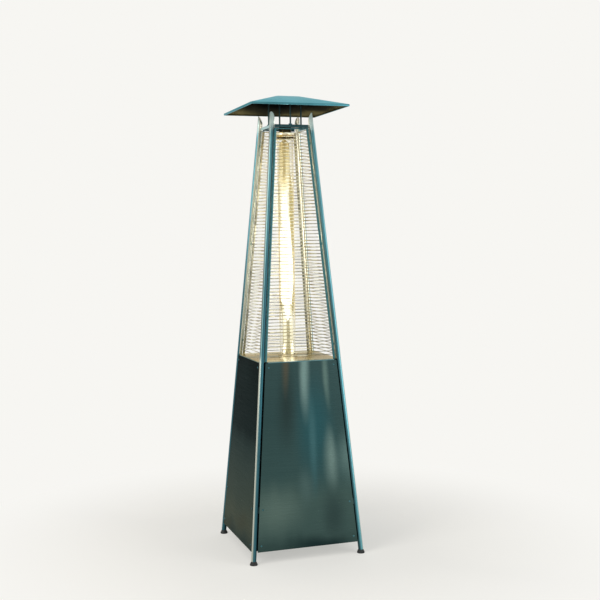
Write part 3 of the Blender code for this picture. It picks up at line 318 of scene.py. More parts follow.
class Look(Tree):
    """A material with a Principled shader. Its x, y and z are the place, and facing is the normal."""

    def __init__(self, name, metallic=0.0):
        self.material = bpy.data.materials.new(name)
        self.material.use_nodes = True
        super().__init__(self.material.node_tree)
        self.shader = self.tree.nodes["Principled BSDF"]
        self.give(metallic=metallic)
        coordinates = self.node("ShaderNodeTexCoord")
        self.here = coordinates.outputs["Object"]
        self.x, self.y, self.z = self.node("ShaderNodeSeparateXYZ", self.here).outputs
        self.facing = self.node("ShaderNodeSeparateXYZ", coordinates.outputs["Normal"]).outputs

    def join(self, *values):
        return self.node("ShaderNodeCombineXYZ", *values).outputs[0]

    def reach(self):
        """Distance from the middle axis."""
        squares = [self.maths("POWER", value, 2.0) for value in (self.x, self.y)]
        return self.maths("SQRT", self.maths("ADD", *squares))

    def noise(self, scale, detail=2.0, vector=None, distortion=0.0):
        made = self.node("ShaderNodeTexNoise")
        self.fill(made, vector=vector or self.here, scale=scale, detail=detail, distortion=distortion)
        return made.outputs["Fac"]

    def strokes(self, scale, detail=3.0, vector=None):
        """Noise with a scale for each axis: small along brushed strokes, large across them."""
        made = self.node("ShaderNodeMapping")
        self.fill(made, vector=vector or self.here, scale=Vector(scale))
        return self.noise(1.0, detail, made.outputs[0])

    def blend(self, factor, one, other, mode="MIX"):
        made = self.node("ShaderNodeMix", data_type="RGBA", blend_type=mode)
        self.feed(made.inputs["Factor"], factor)
        self.feed(made.inputs["A"], one)
        self.feed(made.inputs["B"], other)
        return made.outputs["Result"]

    def times(self, shade, gain):
        return self.blend(1.0, shade, gain, "MULTIPLY")

    def fade(self, value, low, high, one, other, strength=1.0):
        """One colour where the value is low and the other where it is high, with a smooth change between."""
        return self.blend(self.range(value, low, high, 0.0, strength), one, other)

    def ramp(self, value, stops):
        """Colour and cover by a value, from (value, colour) stops between 0 and 1.

        A colour may carry its cover as a fourth number."""
        made = self.node("ShaderNodeValToRGB", value)
        elements = made.color_ramp.elements
        while len(elements) < len(stops):
            elements.new(1.0)
        for element, (place, tint) in zip(elements, stops):
            element.position = place
            element.color = linear(tint)
        return made.outputs["Color"], made.outputs["Alpha"]

    def glow(self, shade, u, v, centre, size, tint, strength):
        """Lays a soft oval patch of a tint over a shade, in the plane of two coordinates."""
        place = self.join(self.maths("DIVIDE", u, size[0]), self.maths("DIVIDE", v, size[1]))
        middle = Vector((centre[0] / size[0], centre[1] / size[1], 0.0))
        away = self.node("ShaderNodeVectorMath", place, middle, operation="DISTANCE").outputs["Value"]
        return self.blend(self.range(away, 1.0, 0.0, 0.0, strength), shade, tint)

    def bump(self, height, strength):
        made = self.node("ShaderNodeBump")
        self.fill(made, height=height, strength=strength, distance=BUMP_DEPTH)
        self.give(normal=made.outputs["Normal"])

    def give(self, **inputs):
        """Feeds the shader's inputs."""
        self.fill(self.shader, **inputs)

    def finish(self, shade, marks, smooth, rough, bump, **inputs):
        """Gives the shade, and a roughness and a bump that follow the marks."""
        self.give(base_color=shade, roughness=self.range(marks, 0.3, 0.7, smooth, rough), **inputs)
        self.bump(marks, bump)
        return self

    def surface(self, factor, one, other):
        """Puts a mix of two shader nodes in the Principled shader's place."""
        mixed = self.node("ShaderNodeMixShader", factor, one.outputs[0], other.outputs[0])
        self.feed(self.tree.nodes["Material Output"].inputs["Surface"], mixed.outputs[0])
        self.tree.nodes.remove(self.shader)


# Tints, and the scales of brushed strokes
# Colours of three numbers are sRGB, and stops are pairs of a value and a colour

EDGE_TINT = (0.43, 0.45, 0.45, 1.0)
GOLD_EDGE_TINT = (0.84, 0.76, 0.56, 1.0)
TEAL_EDGE_TINT = (0.58, 0.88, 0.94, 1.0)
DECK_EDGE_TINT = (0.96, 0.91, 0.76, 1.0)
DECK_HELD_DOWN = (0.72, 0.66, 0.52, 1.0)
# Painted light on the right posts, and painted shade on the left posts, low and high up
TUBE_RIGHT_PAINTED_LIGHT = (1.25, 1.16, 1.14, 1.0)
TUBE_LEFT_PAINTED_SHADE = (0.4, 0.44, 0.46, 1.0)
TUBE_TOP_PAINTED_SHADE = (1.0, 0.88, 0.86, 1.0)
STROKES_LEVEL = (7.0, 7.0, 900.0)
STROKES_FINE = (6.0, 6.0, 1500.0)
# Painted reflection and shade round the posts, by how far each face turns outwards
TUBE_REFLECTION_TINTS = (
    (0.15, (38, 66, 70)), (0.33, (66, 116, 126)), (0.53, (88, 144, 155)), (0.72, (106, 162, 172)),
    (0.86, (134, 168, 168)), (0.97, (164, 178, 172)),
)
DECK_TINTS = (
    (0.03, (132, 148, 142)), (0.12, (200, 196, 164)), (0.24, (184, 158, 86)), (0.42, (164, 140, 78)),
    (0.52, (108, 106, 80)), (0.62, (150, 144, 108)), (0.74, (200, 172, 90)), (0.9, (204, 198, 166)),
)
# Painted reflections and shade on the panels: colour levels by height, then soft bright and dark patches
FRONT_REFLECTION_LEVELS = (
    (0.05, (52, 72, 70)), (0.14, (64, 86, 83)), (0.3, (66, 88, 84)), (0.42, (56, 80, 79)),
    (0.72, (51, 74, 74)), (0.96, (54, 76, 76)),
)
FRONT_REFLECTION_PATCHES = (
    ((0.25, 0.64), (0.62, 0.36), (42, 84, 90), 0.85),
    ((-0.4, 0.76), (0.3, 0.3), (42, 56, 55), 0.8),
    ((-0.42, 0.95), (0.14, 0.2), (84, 80, 66), 0.85),
    ((0.07, 0.92), (0.18, 0.3), (118, 145, 141), 0.92),
    ((0.2, 0.58), (0.13, 0.34), (66, 104, 108), 0.8),
    ((0.6, 0.9), (0.12, 0.24), (92, 116, 110), 0.9),
    ((0.57, 0.48), (0.21, 0.2), (106, 130, 125), 0.95),
    ((0.95, 0.48), (0.34, 0.17), (92, 118, 115), 0.9),
    ((-0.62, 0.24), (0.75, 0.17), (92, 113, 106), 0.8),
    ((0.0, 0.36), (0.24, 0.13), (80, 104, 102), 0.6),
    ((0.55, 0.22), (0.34, 0.18), (48, 66, 65), 0.8),
    ((0.2, 0.06), (0.85, 0.075), (26, 44, 46), 0.9),
    ((0.52, 0.07), (0.3, 0.06), (26, 42, 44), 0.8),
)
REAR_REFLECTION_PATCHES = (
    ((-0.3, 0.7), (0.26, 0.44), (84, 110, 108), 0.75),
    ((0.3, 0.58), (0.2, 0.5), (44, 66, 68), 0.7),
    ((0.66, 0.66), (0.16, 0.4), (80, 108, 108), 0.7),
    ((-0.1, 0.08), (0.9, 0.08), (36, 52, 53), 0.8),
)
RIGHT_REFLECTION_PATCHES = (
    ((-0.5, 0.62), (0.3, 0.42), (84, 110, 108), 0.8),
    ((0.1, 0.72), (0.16, 0.36), (42, 62, 64), 0.8),
    ((0.45, 0.5), (0.2, 0.46), (78, 104, 104), 0.75),
    ((0.1, 0.08), (0.9, 0.08), (34, 50, 51), 0.85),
)
# Painted reflections and shade on the left panel: near-black above, lighter and olive below
SIDE_REFLECTION_LEVELS = (
    (0.06, (64, 76, 72)), (0.15, (92, 98, 84)), (0.26, (76, 86, 77)), (0.42, (64, 76, 71)),
    (0.54, (50, 63, 61)), (0.61, (27, 36, 36)), (0.88, (22, 29, 29)), (0.96, (13, 19, 19)),
)
SIDE_REFLECTION_PATCHES = (
    ((-0.3, 0.16), (0.7, 0.07), (84, 86, 72), 0.7),
    ((0.7, 0.08), (0.6, 0.07), (84, 86, 70), 0.8),
    ((0.2, 0.88), (0.8, 0.14), (30, 40, 40), 0.6),
)
COLLAR_TINTS = (
    (0.0, (38, 34, 24)), (0.06, (56, 46, 28)), (0.1, (150, 122, 66)), (0.25, (176, 146, 84)),
    (0.28, (246, 240, 214)), (0.43, (246, 240, 214)), (0.46, (74, 66, 46)), (1.0, (30, 32, 28)),
)
TONGUE_TINTS = (
    (0.0, (0.44, 0.41, 0.31, 0.97)), (0.11, (0.46, 0.44, 0.34, 0.97)), (0.17, (0.62, 0.62, 0.55, 0.97)),
    (0.76, (0.94, 1.0, 1.0, 0.97)), (0.81, (0.8, 0.78, 0.62, 0.96)), (0.87, (0.68, 0.64, 0.44, 0.96)),
    (0.92, (0.56, 0.5, 0.3, 0.95)), (0.97, (0.44, 0.36, 0.18, 0.94)), (1.0, (0.3, 0.22, 0.08, 0.92)),
)
HEART_TINTS = (
    (0.15, (0.6, 0.6, 0.52, 0.97)), (0.25, (1.0, 0.99, 0.93, 1.0)), (0.71, (1.0, 0.99, 0.93, 1.0)),
    (0.76, (0.6, 0.6, 0.5, 0.98)), (0.82, (0.34, 0.28, 0.12, 0.92)),
)
VEIL_TINTS = (
    (0.14, (0.42, 0.37, 0.17, 0.56)), (0.25, (0.5, 0.38, 0.09, 0.82)), (0.73, (0.5, 0.39, 0.11, 0.82)),
    (0.81, (0.5, 0.38, 0.12, 0.84)), (0.94, (0.44, 0.33, 0.1, 0.82)), (1.0, (0.32, 0.22, 0.06, 0.82)),
)


# Materials

def brushed(name, dark, light):
    """Steel with level brushed strokes, in two tints."""
    look = Look(name, 1.0)
    strokes = look.strokes(STROKES_LEVEL)
    tone = look.maths("MULTIPLY_ADD", strokes, 0.45, look.product(look.noise(2.5, 3.0), 0.55))
    return look.finish(look.fade(tone, 0.36, 0.66, dark, light), strokes, 0.28, 0.42, 0.12)


def panel_look(side, levels, reflection_patches):
    """Finely brushed panel, with soft reflections of its surroundings painted into its colour.

    Levels are (height, colour) pairs of painted reflection and shade. Patches are painted reflections, bright
    and dark: (place across, height), (half width, half height), colour and strength, with places across as
    shares of the panel's half width there."""
    look = Look(f"{side}_panel_steel", 1.0)
    across = look.x if side in ("front", "rear") else look.y
    spread = look.maths("DIVIDE", across, look.maths("MULTIPLY_ADD", look.z, -LEAN, FOOT_SPACING / 2))
    waver = look.maths("SUBTRACT", look.strokes((9.0, 9.0, 2.0), 2.0), 0.5)
    height = look.maths("MULTIPLY_ADD", waver, PANEL_WAVER, look.z)
    drift = look.maths("MULTIPLY_ADD", waver, PANEL_DRIFT, spread)
    # Painted reflections and shade: colour by height, then the soft bright and dark patches
    shade = look.ramp(height, levels)[0]
    for patch in reflection_patches:
        shade = look.glow(shade, drift, height, *patch)
    strokes = look.strokes(STROKES_LEVEL, 4.0)
    shade = look.fade(strokes, 0.3, 0.7, shade, (0.0, 0.0, 0.0), 0.16)
    return look.finish(shade, strokes, 0.26, 0.36, 0.06, specular_tint=EDGE_TINT)


def turned_out(look):
    """How far each face is turned away from the middle axis: sideways, and to the front or rear."""
    places = zip((look.x, look.y), look.facing)
    return [look.product(facing, look.maths("SIGN", place)) for place, facing in places]


def flame_lit(look, shade, out_x, out_y):
    """Painted flame light: cream on the faces that are turned to the flame, above the deck."""
    inward = look.range(look.maths("ADD", out_x, out_y), -0.25, -0.95)
    above = look.range(look.z, DECK_LEVEL - LIT_BLUR, DECK_LEVEL + LIT_BLUR)
    return look.blend(look.product(inward, above), shade, (228, 224, 204))


def tube_look():
    """Round tube, brushed along the lean of each post.

    It is teal in front. Painted shade darkens it towards the panels, on the rear posts and on the left posts.
    Painted highlights make it pale at its outer sides and top, and cream on the front posts' outer sides
    below the deck; painted flame light makes it cream where it faces the flame."""
    look = Look("tube_steel", 1.0)
    out_x, out_y = turned_out(look)
    aside = [look.maths("ABSOLUTE", value) for value in (look.x, look.y)]
    place = look.join(*[look.maths("MULTIPLY_ADD", look.z, LEAN, value) for value in aside], look.z)
    strokes = look.strokes((700.0, 700.0, 5.0), vector=place)
    clouds = look.strokes((40.0, 40.0, 3.0), 2.0, place)
    tone = look.maths("MULTIPLY_ADD", strokes, 0.5, look.product(clouds, 0.5))
    # Painted reflection and shade: tint by how far each face turns outwards, darker on the rear posts
    rear = look.range(look.y, 0.0, TUBE_BLUR, 0.0, 0.32)
    turn = look.maths("SUBTRACT", look.maths("MULTIPLY_ADD", out_x, 0.5, 0.5), rear)
    shade = look.times(look.ramp(turn, TUBE_REFLECTION_TINTS)[0], look.range(tone, 0.34, 0.68, 0.74, 1.24))
    # Painted shade on the left posts and painted light on the right posts
    left_gain = look.fade(look.z, TUBE_GAIN_LOW, TUBE_GAIN_HIGH, TUBE_LEFT_PAINTED_SHADE, TUBE_TOP_PAINTED_SHADE)
    shade = look.times(shade, look.fade(look.x, -TUBE_BLUR, TUBE_BLUR, left_gain, TUBE_RIGHT_PAINTED_LIGHT))
    # Painted highlight: cream on the front posts' outer sides below the deck
    below = look.range(look.z, DECK_LEVEL + TUBE_HIGHLIGHT_RISE, DECK_LEVEL, 0.0, 0.75)
    cream = look.product(below, look.range(out_x, 0.5, 0.85), look.range(look.y, TUBE_BLUR, 0.0))
    shade = look.blend(cream, shade, (206, 208, 192))
    # Painted highlight: pale, less metallic post tops under the hood
    pale = look.range(look.z, TUBE_PAINTED_LIGHT_LOW, TUBE_PAINTED_LIGHT_HIGH)
    shade = flame_lit(look, look.blend(pale, shade, (206, 228, 223)), out_x, out_y)
    return look.finish(shade, strokes, 0.22, 0.34, 0.08, metallic=look.range(pale, 0.0, 1.0, 1.0, 0.25))


def strip_look():
    """Flat strips and top bars of the guards: dark teal outside, with painted flame light on the faces turned
    to the flame.
    """
    look = Look("guard_strip", 1.0)
    strokes = look.strokes((700.0, 700.0, 9.0))
    shade = look.fade(strokes, 0.34, 0.68, (44, 84, 90), (68, 114, 118))
    return look.finish(flame_lit(look, shade, *turned_out(look)), strokes, 0.26, 0.38, 0.08)


def deck_look():
    """Deck plate: straw and bronze heat tints in bands, a painted reflection of the flame along its heading,
    teal on its rim.

    The plate mirrors the flame, so its own tints are held down."""
    look = Look("deck_steel", 1.0)
    low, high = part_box("deck_plate")
    waver = look.maths("MULTIPLY_ADD", look.noise(9.0, 3.0), DECK_WAVER, -DECK_WAVER / 2)
    share = look.maths("ADD", look.range(look.y, low.y, high.y, smooth=False), waver)
    dull = look.range(look.x, DECK_DULL_FROM, DECK_DULL_TO, 0.0, 0.3)
    shade = look.blend(dull, look.ramp(share, DECK_TINTS)[0], (84, 78, 56))
    shade = look.times(shade, DECK_HELD_DOWN)
    # Painted reflection of the flame: a near-white band along the flame's heading, weaker towards the rear
    sideways = look.product(look.x, math.cos(FLAME_HEADING))
    aside = look.maths("ABSOLUTE", look.maths("MULTIPLY_ADD", look.y, math.sin(FLAME_HEADING), sideways))
    flame_reflection = look.range(look.maths("ADD", aside, waver), DECK_FLAME_REFLECTION, DECK_FLAME_REFLECTION / 2)
    flame_reflection = look.product(flame_reflection, look.range(look.y, DECK_FLAME_REFLECTION_FADE, 0.0, 0.25, 1.0))
    shade = look.blend(flame_reflection, shade, (246, 246, 238))
    strokes = look.strokes((7.0, 800.0, 7.0))
    shade = look.fade(strokes, 0.35, 0.65, shade, (226, 220, 190), 0.14)
    flat = look.maths("ABSOLUTE", look.facing[2])
    shade = look.fade(flat, 0.3, 0.8, (92, 138, 148), shade)
    return look.finish(shade, strokes, 0.24, 0.34, 0.06, specular_tint=DECK_EDGE_TINT)


def burnt_look():
    """Pale steel round the flame's foot: bronze and straw near the middle axis."""
    look = Look("burnt_steel", 1.0)
    ragged = look.maths("MULTIPLY_ADD", look.noise(11.0, 3.0), BURNT_WAVER, look.reach())
    middle = (BURNT_STRAW + BURNT_PALE) / 2
    warm = look.fade(ragged, BURNT_STRAW, middle, (226, 208, 160), (238, 230, 204))
    shade = look.fade(ragged, BURNT_STRAW, BURNT_PALE, warm, (216, 208, 182))
    strokes = look.strokes(STROKES_LEVEL)
    shade = look.fade(strokes, 0.35, 0.65, shade, (214, 192, 134), 0.25)
    return look.finish(shade, strokes, 0.34, 0.44, 0.06, specular_tint=GOLD_EDGE_TINT)


def collar_look():
    """Collar over the glass: a bright rim, a gold-brown skirt with a dark lower edge, and a dark neck."""
    look = Look("collar_steel", 1.0)
    low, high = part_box("flue_collar")
    share = look.range(look.z, low.z, high.z, smooth=False)
    blotch = look.noise(60.0, 4.0)
    wavy = look.maths("MULTIPLY_ADD", look.maths("SUBTRACT", blotch, 0.5), 0.02, share)
    shade = look.times(look.ramp(wavy, COLLAR_TINTS)[0], look.range(blotch, 0.3, 0.7, 0.7, 1.2))
    return look.finish(shade, blotch, 0.22, 0.4, 0.08)


def plate_look():
    """Upper plate: dark brushed teal, paler on its left rim, which faces the light."""
    look = Look("upper_plate_steel", 1.0)
    strokes = look.strokes(STROKES_LEVEL)
    shade = look.fade(strokes, 0.3, 0.7, (34, 58, 62), (58, 86, 90))
    shade = look.fade(look.facing[0], -0.5, -0.9, shade, (168, 200, 202))
    return look.finish(shade, strokes, 0.26, 0.36, 0.08)


def wire_look():
    """Guard wire with painted flame light: pale in front of the flame and golden beside it; grey further out.
    """
    look = Look("guard_steel", 1.0)
    aside = look.maths("MINIMUM", look.maths("ABSOLUTE", look.x), look.maths("ABSOLUTE", look.y))
    blotch = look.noise(38.0, 3.0)
    grey = look.fade(blotch, 0.35, 0.65, (112, 112, 98), (172, 170, 150))
    gold = look.fade(blotch, 0.35, 0.65, (136, 122, 80), (190, 176, 128))
    # Painted flame light: pale in front of the flame, golden beside it
    flame_glare_to, gold_from, gold_to, grey_from = WIRE_FLAME_LIGHT_REACHES
    shade = look.fade(aside, gold_to, grey_from, gold, grey)
    shade = look.fade(aside, gold_from, flame_glare_to, shade, (226, 222, 200))
    return look.finish(shade, look.noise(420.0), 0.2, 0.38, 0.1)


def hood_look():
    """Hood sheet outside: brushed teal, with a painted reflection that makes the slopes bright and the
    upright lip darker.
    """
    look = Look("hood_steel", 1.0)
    strokes = look.strokes(STROKES_FINE, 4.0)
    tone = look.maths("MULTIPLY_ADD", strokes, 0.35, look.product(look.noise(5.0, 3.0), 0.65))
    slopes = look.fade(tone, 0.3, 0.72, (96, 152, 163), (122, 182, 193))
    lip = look.fade(tone, 0.34, 0.68, (58, 110, 120), (84, 140, 150))
    # Painted reflection: the upright lip darker than the slopes
    shade = look.fade(look.facing[2], 0.55, 0.85, lip, slopes)
    return look.finish(shade, strokes, 0.26, 0.4, 0.05, specular_tint=TEAL_EDGE_TINT)


def soot_and_shadow_look():
    """Inside of the hood: dark over the flue from soot and the painted shadow of the upper plate, brown and
    gold towards the rim from heat and painted flame light.
    """
    look = Look("hood_inside")
    ragged = look.maths("MULTIPLY_ADD", look.noise(13.0, 4.0), SOOT_AND_SHADOW_WAVER, look.reach())
    black_to, brown_to, brown_from, gold_from = SOOT_AND_SHADOW_REACHES
    # Soot and painted shadow over the flue, heat tint and painted flame light towards the rim
    brown = look.fade(ragged, black_to, brown_from, (8, 9, 9), (34, 33, 25))
    shade = look.fade(ragged, brown_to, gold_from, brown, (94, 88, 60))
    return look.finish(shade, look.strokes(STROKES_FINE), 0.5, 0.7, 0.12, specular_ior_level=0.0)


def rubber_look():
    """Black rubber with a fine grit, dusty in places."""
    look = Look("rubber")
    shade = look.fade(look.noise(60.0, 3.0), 0.45, 0.75, (15, 18, 19), (36, 42, 43))
    return look.finish(shade, look.noise(900.0), 0.55, 0.78, 0.25)


def moulded_look():
    """Black moulded plastic with a fine spark-eroded texture."""
    look = Look("black_plastic")
    shade = look.fade(look.noise(70.0), 0.3, 0.7, (22, 23, 24), (38, 39, 40))
    return look.finish(shade, look.noise(1400.0), 0.34, 0.52, 0.18)


def knob_look():
    """Control knob's black plastic, with a pale pointer line from near its middle up to its rim."""
    look = Look("knob_plastic")
    low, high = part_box("control_knob")
    middle = (low + high) / 2
    foot = middle.z + KNOB_POINTER_FOOT
    shade = look.fade(look.noise(70.0), 0.3, 0.7, (20, 21, 22), (32, 33, 34))
    aside = look.maths("ABSOLUTE", look.maths("SUBTRACT", look.x, middle.x))
    line = look.range(aside, KNOB_POINTER_HALF + KNOB_POINTER_EDGE, KNOB_POINTER_HALF)
    upper = look.range(look.z, foot, foot + KNOB_POINTER_EDGE)
    line = look.product(line, upper, look.range(look.facing[1], 0.5, 0.8))
    shade = look.blend(line, shade, (222, 222, 214))
    return look.finish(shade, look.noise(1400.0), 0.4, 0.54, 0.15, specular_ior_level=0.3)


def machined_look(name, dark, light, roughness):
    """Turned brass or drawn copper with fine marks and a slight tarnish."""
    look = Look(name, 1.0)
    shade = look.fade(look.noise(45.0, 4.0, distortion=0.5), 0.35, 0.7, dark, light)
    return look.finish(shade, look.noise(600.0), roughness - 0.07, roughness + 0.12, 0.12)


def fibre_look():
    """Woven ceramic rope of the glass tube's gasket."""
    look = Look("gasket")
    turn = look.maths("ARCTAN2", look.y, look.x)
    plait = look.maths("MULTIPLY_ADD", turn, 90.0, look.product(look.z, 2600.0))
    strand = look.range(look.maths("SINE", plait), -1.0, 1.0)
    look.give(base_color=look.blend(strand, (150, 143, 124), (214, 208, 190)), roughness=0.9)
    look.bump(strand, 0.6)
    return look


def ceramic_look():
    """Glazed ceramic, stained brown by heat."""
    look = Look("ceramic")
    stain = look.noise(80.0, 3.0)
    shade = look.fade(stain, 0.5, 0.8, (232, 230, 222), (176, 160, 132))
    look.give(base_color=shade, roughness=look.range(stain, 0.4, 0.8, 0.22, 0.45))
    look.bump(stain, 0.05)
    return look


def magnet_look():
    """Dull brown magnet with a grainy surface."""
    look = Look("magnet")
    shade = look.fade(look.noise(90.0), 0.3, 0.7, (70, 56, 46), (96, 80, 66))
    return look.finish(shade, look.noise(1100.0), 0.42, 0.6, 0.2)


def glass_look():
    """Thin clear glass with a faint haze of use.

    It shows almost nothing straight on, and has painted golden flame light at its edges."""
    look = Look("glass")
    haze = look.strokes((7.0, 7.0, 2.45))
    edge = look.node("ShaderNodeLayerWeight", 0.28).outputs["Facing"]
    flame_light_low = DECK_LEVEL + GLASS_FLAME_LIGHT_RISE
    warm = look.range(look.z, flame_light_low, flame_light_low + GLASS_FLAME_LIGHT_SPAN)
    cover = look.product(edge, look.maths("MULTIPLY_ADD", warm, 0.34, 0.2))
    shade = look.fade(haze, 0.35, 0.75, (206, 204, 178), (232, 224, 196))
    # Painted flame light: golden edges beside the flame
    shade = look.blend(look.product(warm, look.range(edge, 0.2, 0.7)), shade, (198, 168, 92))
    alpha = look.maths("ADD", look.range(haze, 0.35, 0.75, 0.03, 0.09), cover)
    look.give(base_color=shade, roughness=0.03, alpha=alpha, ior=1.47)
    look.bump(haze, 0.02)
    return look


def flame_look(name, stops, strength, ragged):
    """Flame skin that only glows.

    Stops are (share of the flame's height, tint with cover) from its foot to its tip."""
    look = Look(name)
    turn = look.maths("ARCTAN2", look.y, look.x)
    swirl = look.join(look.maths("COSINE", turn), look.maths("SINE", turn), look.product(look.z, 3.0))
    lick = look.noise(3.2, 4.0, swirl, distortion=0.8)
    height = look.maths("MULTIPLY_ADD", look.maths("SUBTRACT", lick, 0.5), FLAME_LICK, look.z)
    tint, cover = look.ramp(look.range(height, FLAME_FOOT, FLAME_TOP, smooth=False), stops)
    flicker = look.range(lick, 0.25, 0.7, 1.0 - ragged, 1.0)
    glow = look.node("ShaderNodeEmission", tint, look.product(flicker, strength))
    look.surface(cover, look.node("ShaderNodeBsdfTransparent"), glow)
    return look


# Objects and meshes

def new_object(name, data):
    """Object of this data, put in the scene."""
    obj = bpy.data.objects.new(name, data)
    bpy.context.scene.collection.objects.link(obj)
    return obj


def add(name, mesh, look, replaced=None):
    """Object from a bmesh in the shared frame. It rides on the heater's body and may stand for a node."""
    data = bpy.data.meshes.new(name)
    bmesh.ops.recalc_face_normals(mesh, faces=mesh.faces)
    mesh.to_mesh(data)
    mesh.free()
    data.shade_smooth()
    data.set_sharp_from_angle(angle=SHARP_ANGLE)
    data.materials.append(look.material)
    obj = new_object(name, data)
    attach(obj, "heater")
    if replaced:
        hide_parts(replaced)
    return obj


def direction(angle):
    """Level direction at this angle round the middle axis."""
    return Vector((math.cos(angle), math.sin(angle), 0.0))


def turns(count):
    """Evenly spaced turns round a circle."""
    return [math.tau * index / count for index in range(count)]


def circle(radius, sides, level=0.0):
    """Level ring of points round the middle axis."""
    return [(radius * math.cos(turn), radius * math.sin(turn), level) for turn in turns(sides)]


def loft(mesh, rings, place=Matrix(), looped=False):
    """Skin through rings of equal point counts, capped at both ends or closed on itself."""
    made = [[mesh.verts.new(place @ Vector(point)) for point in ring] for ring in rings]
    steps = list(zip(made, made[1:]))
    if looped:
        steps.append((made[-1], made[0]))
    for one, other in steps:
        for index in range(len(one)):
            mesh.faces.new((one[index - 1], one[index], other[index], other[index - 1]))
    if not looped:
        mesh.faces.new(made[0])
        mesh.faces.new(made[-1])


def sweep(mesh, outline, along, side, stations):
    """Lofts an outline along a line, through (place, share of the outline's size) stations."""
    deep = along.cross(side)
    loft(mesh, [[place + (side * x + deep * y) * share for x, y, *_ in outline] for place, share in stations])


def bar(mesh, start, end, across, width, depth):
    """Flat bar from start to end, with each edge cut twice, so that it shades as a small round.

    Across is the direction of its width."""
    half_x = width / 2
    half_y = depth / 2
    soft = GUARD_EDGE * (1.0 - math.sqrt(0.5))
    outline = []
    for x, y in QUARTERS:
        corner = [
            (x * half_x, y * (half_y - GUARD_EDGE)),
            (x * (half_x - soft), y * (half_y - soft)),
            (x * (half_x - GUARD_EDGE), y * half_y),
        ]
        outline += corner if x * y > 0 else corner[::-1]
    along = (end - start).normalized()
    side = (across - along * along.dot(across)).normalized()
    sweep(mesh, outline, along, side, ((start, 1.0), (end, 1.0)))


def wire(mesh, start, end):
    """Straight round wire with slightly rounded ends."""
    along = (end - start).normalized()
    rounding = along * (GUARD_WIRE_END_ROUND * GUARD_WIRE_RADIUS)
    stations = (
        (start, GUARD_WIRE_END_SHARE),
        (start + rounding, 1.0),
        (end - rounding, 1.0),
        (end, GUARD_WIRE_END_SHARE),
    )
    outline = circle(GUARD_WIRE_RADIUS, GUARD_WIRE_SIDES)
    sweep(mesh, outline, along, along.orthogonal().normalized(), stations)


def soften(obj):
    """Gives a CAD node smooth shading across its shallow edges. Its points stay as they are."""
    data = obj.data
    corners = {}
    for polygon in data.polygons:
        for index in polygon.loop_indices:
            point = data.vertices[data.loops[index].vertex_index].co
            key = tuple(round(value, 5) for value in point)
            corners.setdefault(key, []).append((index, polygon.normal.copy(), polygon.area))
    limit = math.cos(SHARP_ANGLE)
    normals = [None] * len(data.loops)
    for group in corners.values():
        for index, own, _ in group:
            total = Vector((0.0, 0.0, 0.0))
            for _, normal, area in group:
                if own.dot(normal) >= limit:
                    total += normal * area
            normals[index] = total.normalized() if total.length > 0.0 else own
    data.normals_split_custom_set(normals)


# Posts

def post_axis(corner, level):
    x, y = CORNERS[corner]
    return Vector((x * half_at(level), y * half_at(level), level))


def make_post(corner, look):
    """Smooth tube in the post's place, with its oblique top and a softened rim."""
    node = f"post_{corner}"
    bottom = post_axis(corner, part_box(node)[0].z)
    low_cut = post_axis(corner, HEIGHT - POST_CUT_DROP)
    high_cut = post_axis(corner, HEIGHT - POST_TOP_DROP)
    along = (high_cut - bottom).normalized()
    outward = Vector((*CORNERS[corner], 0.0)).normalized()
    middle = (low_cut + high_cut) / 2
    cut_normal = Vector((0.0, 0.0, 2 * POST_RADIUS)) - outward * (high_cut.z - low_cut.z)
    first = along.cross(Vector((0.0, 1.0, 0.0))).normalized()
    second = along.cross(first)

    def ring(radius, plane_point, plane_normal):
        points = []
        for side, deep, _ in circle(radius, POST_SIDES):
            start = bottom + first * side + second * deep
            reach = (plane_point - start).dot(plane_normal) / along.dot(plane_normal)
            points.append(start + along * reach)
        return points

    up = Vector((0.0, 0.0, 1.0))
    inner = POST_RADIUS - POST_WALL
    lowered = middle - along * (POST_EDGE * (high_cut - low_cut).length / POST_RADIUS)
    rings = [
        ring(POST_RADIUS, bottom, up),
        ring(POST_RADIUS, lowered, cut_normal),
        ring(POST_RADIUS - POST_EDGE, middle, cut_normal),
        ring(inner + POST_EDGE, middle, cut_normal),
        ring(inner, lowered, cut_normal),
        ring(inner, bottom, up),
    ]
    mesh = bmesh.new()
    loft(mesh, rings, looped=True)
    add(f"post_tube_{corner}", mesh, look, node)


# Guards

def strip_middle(level):
    return half_at(level) - GUARD_OUTER_ACROSS - GUARD_STRIP / 2


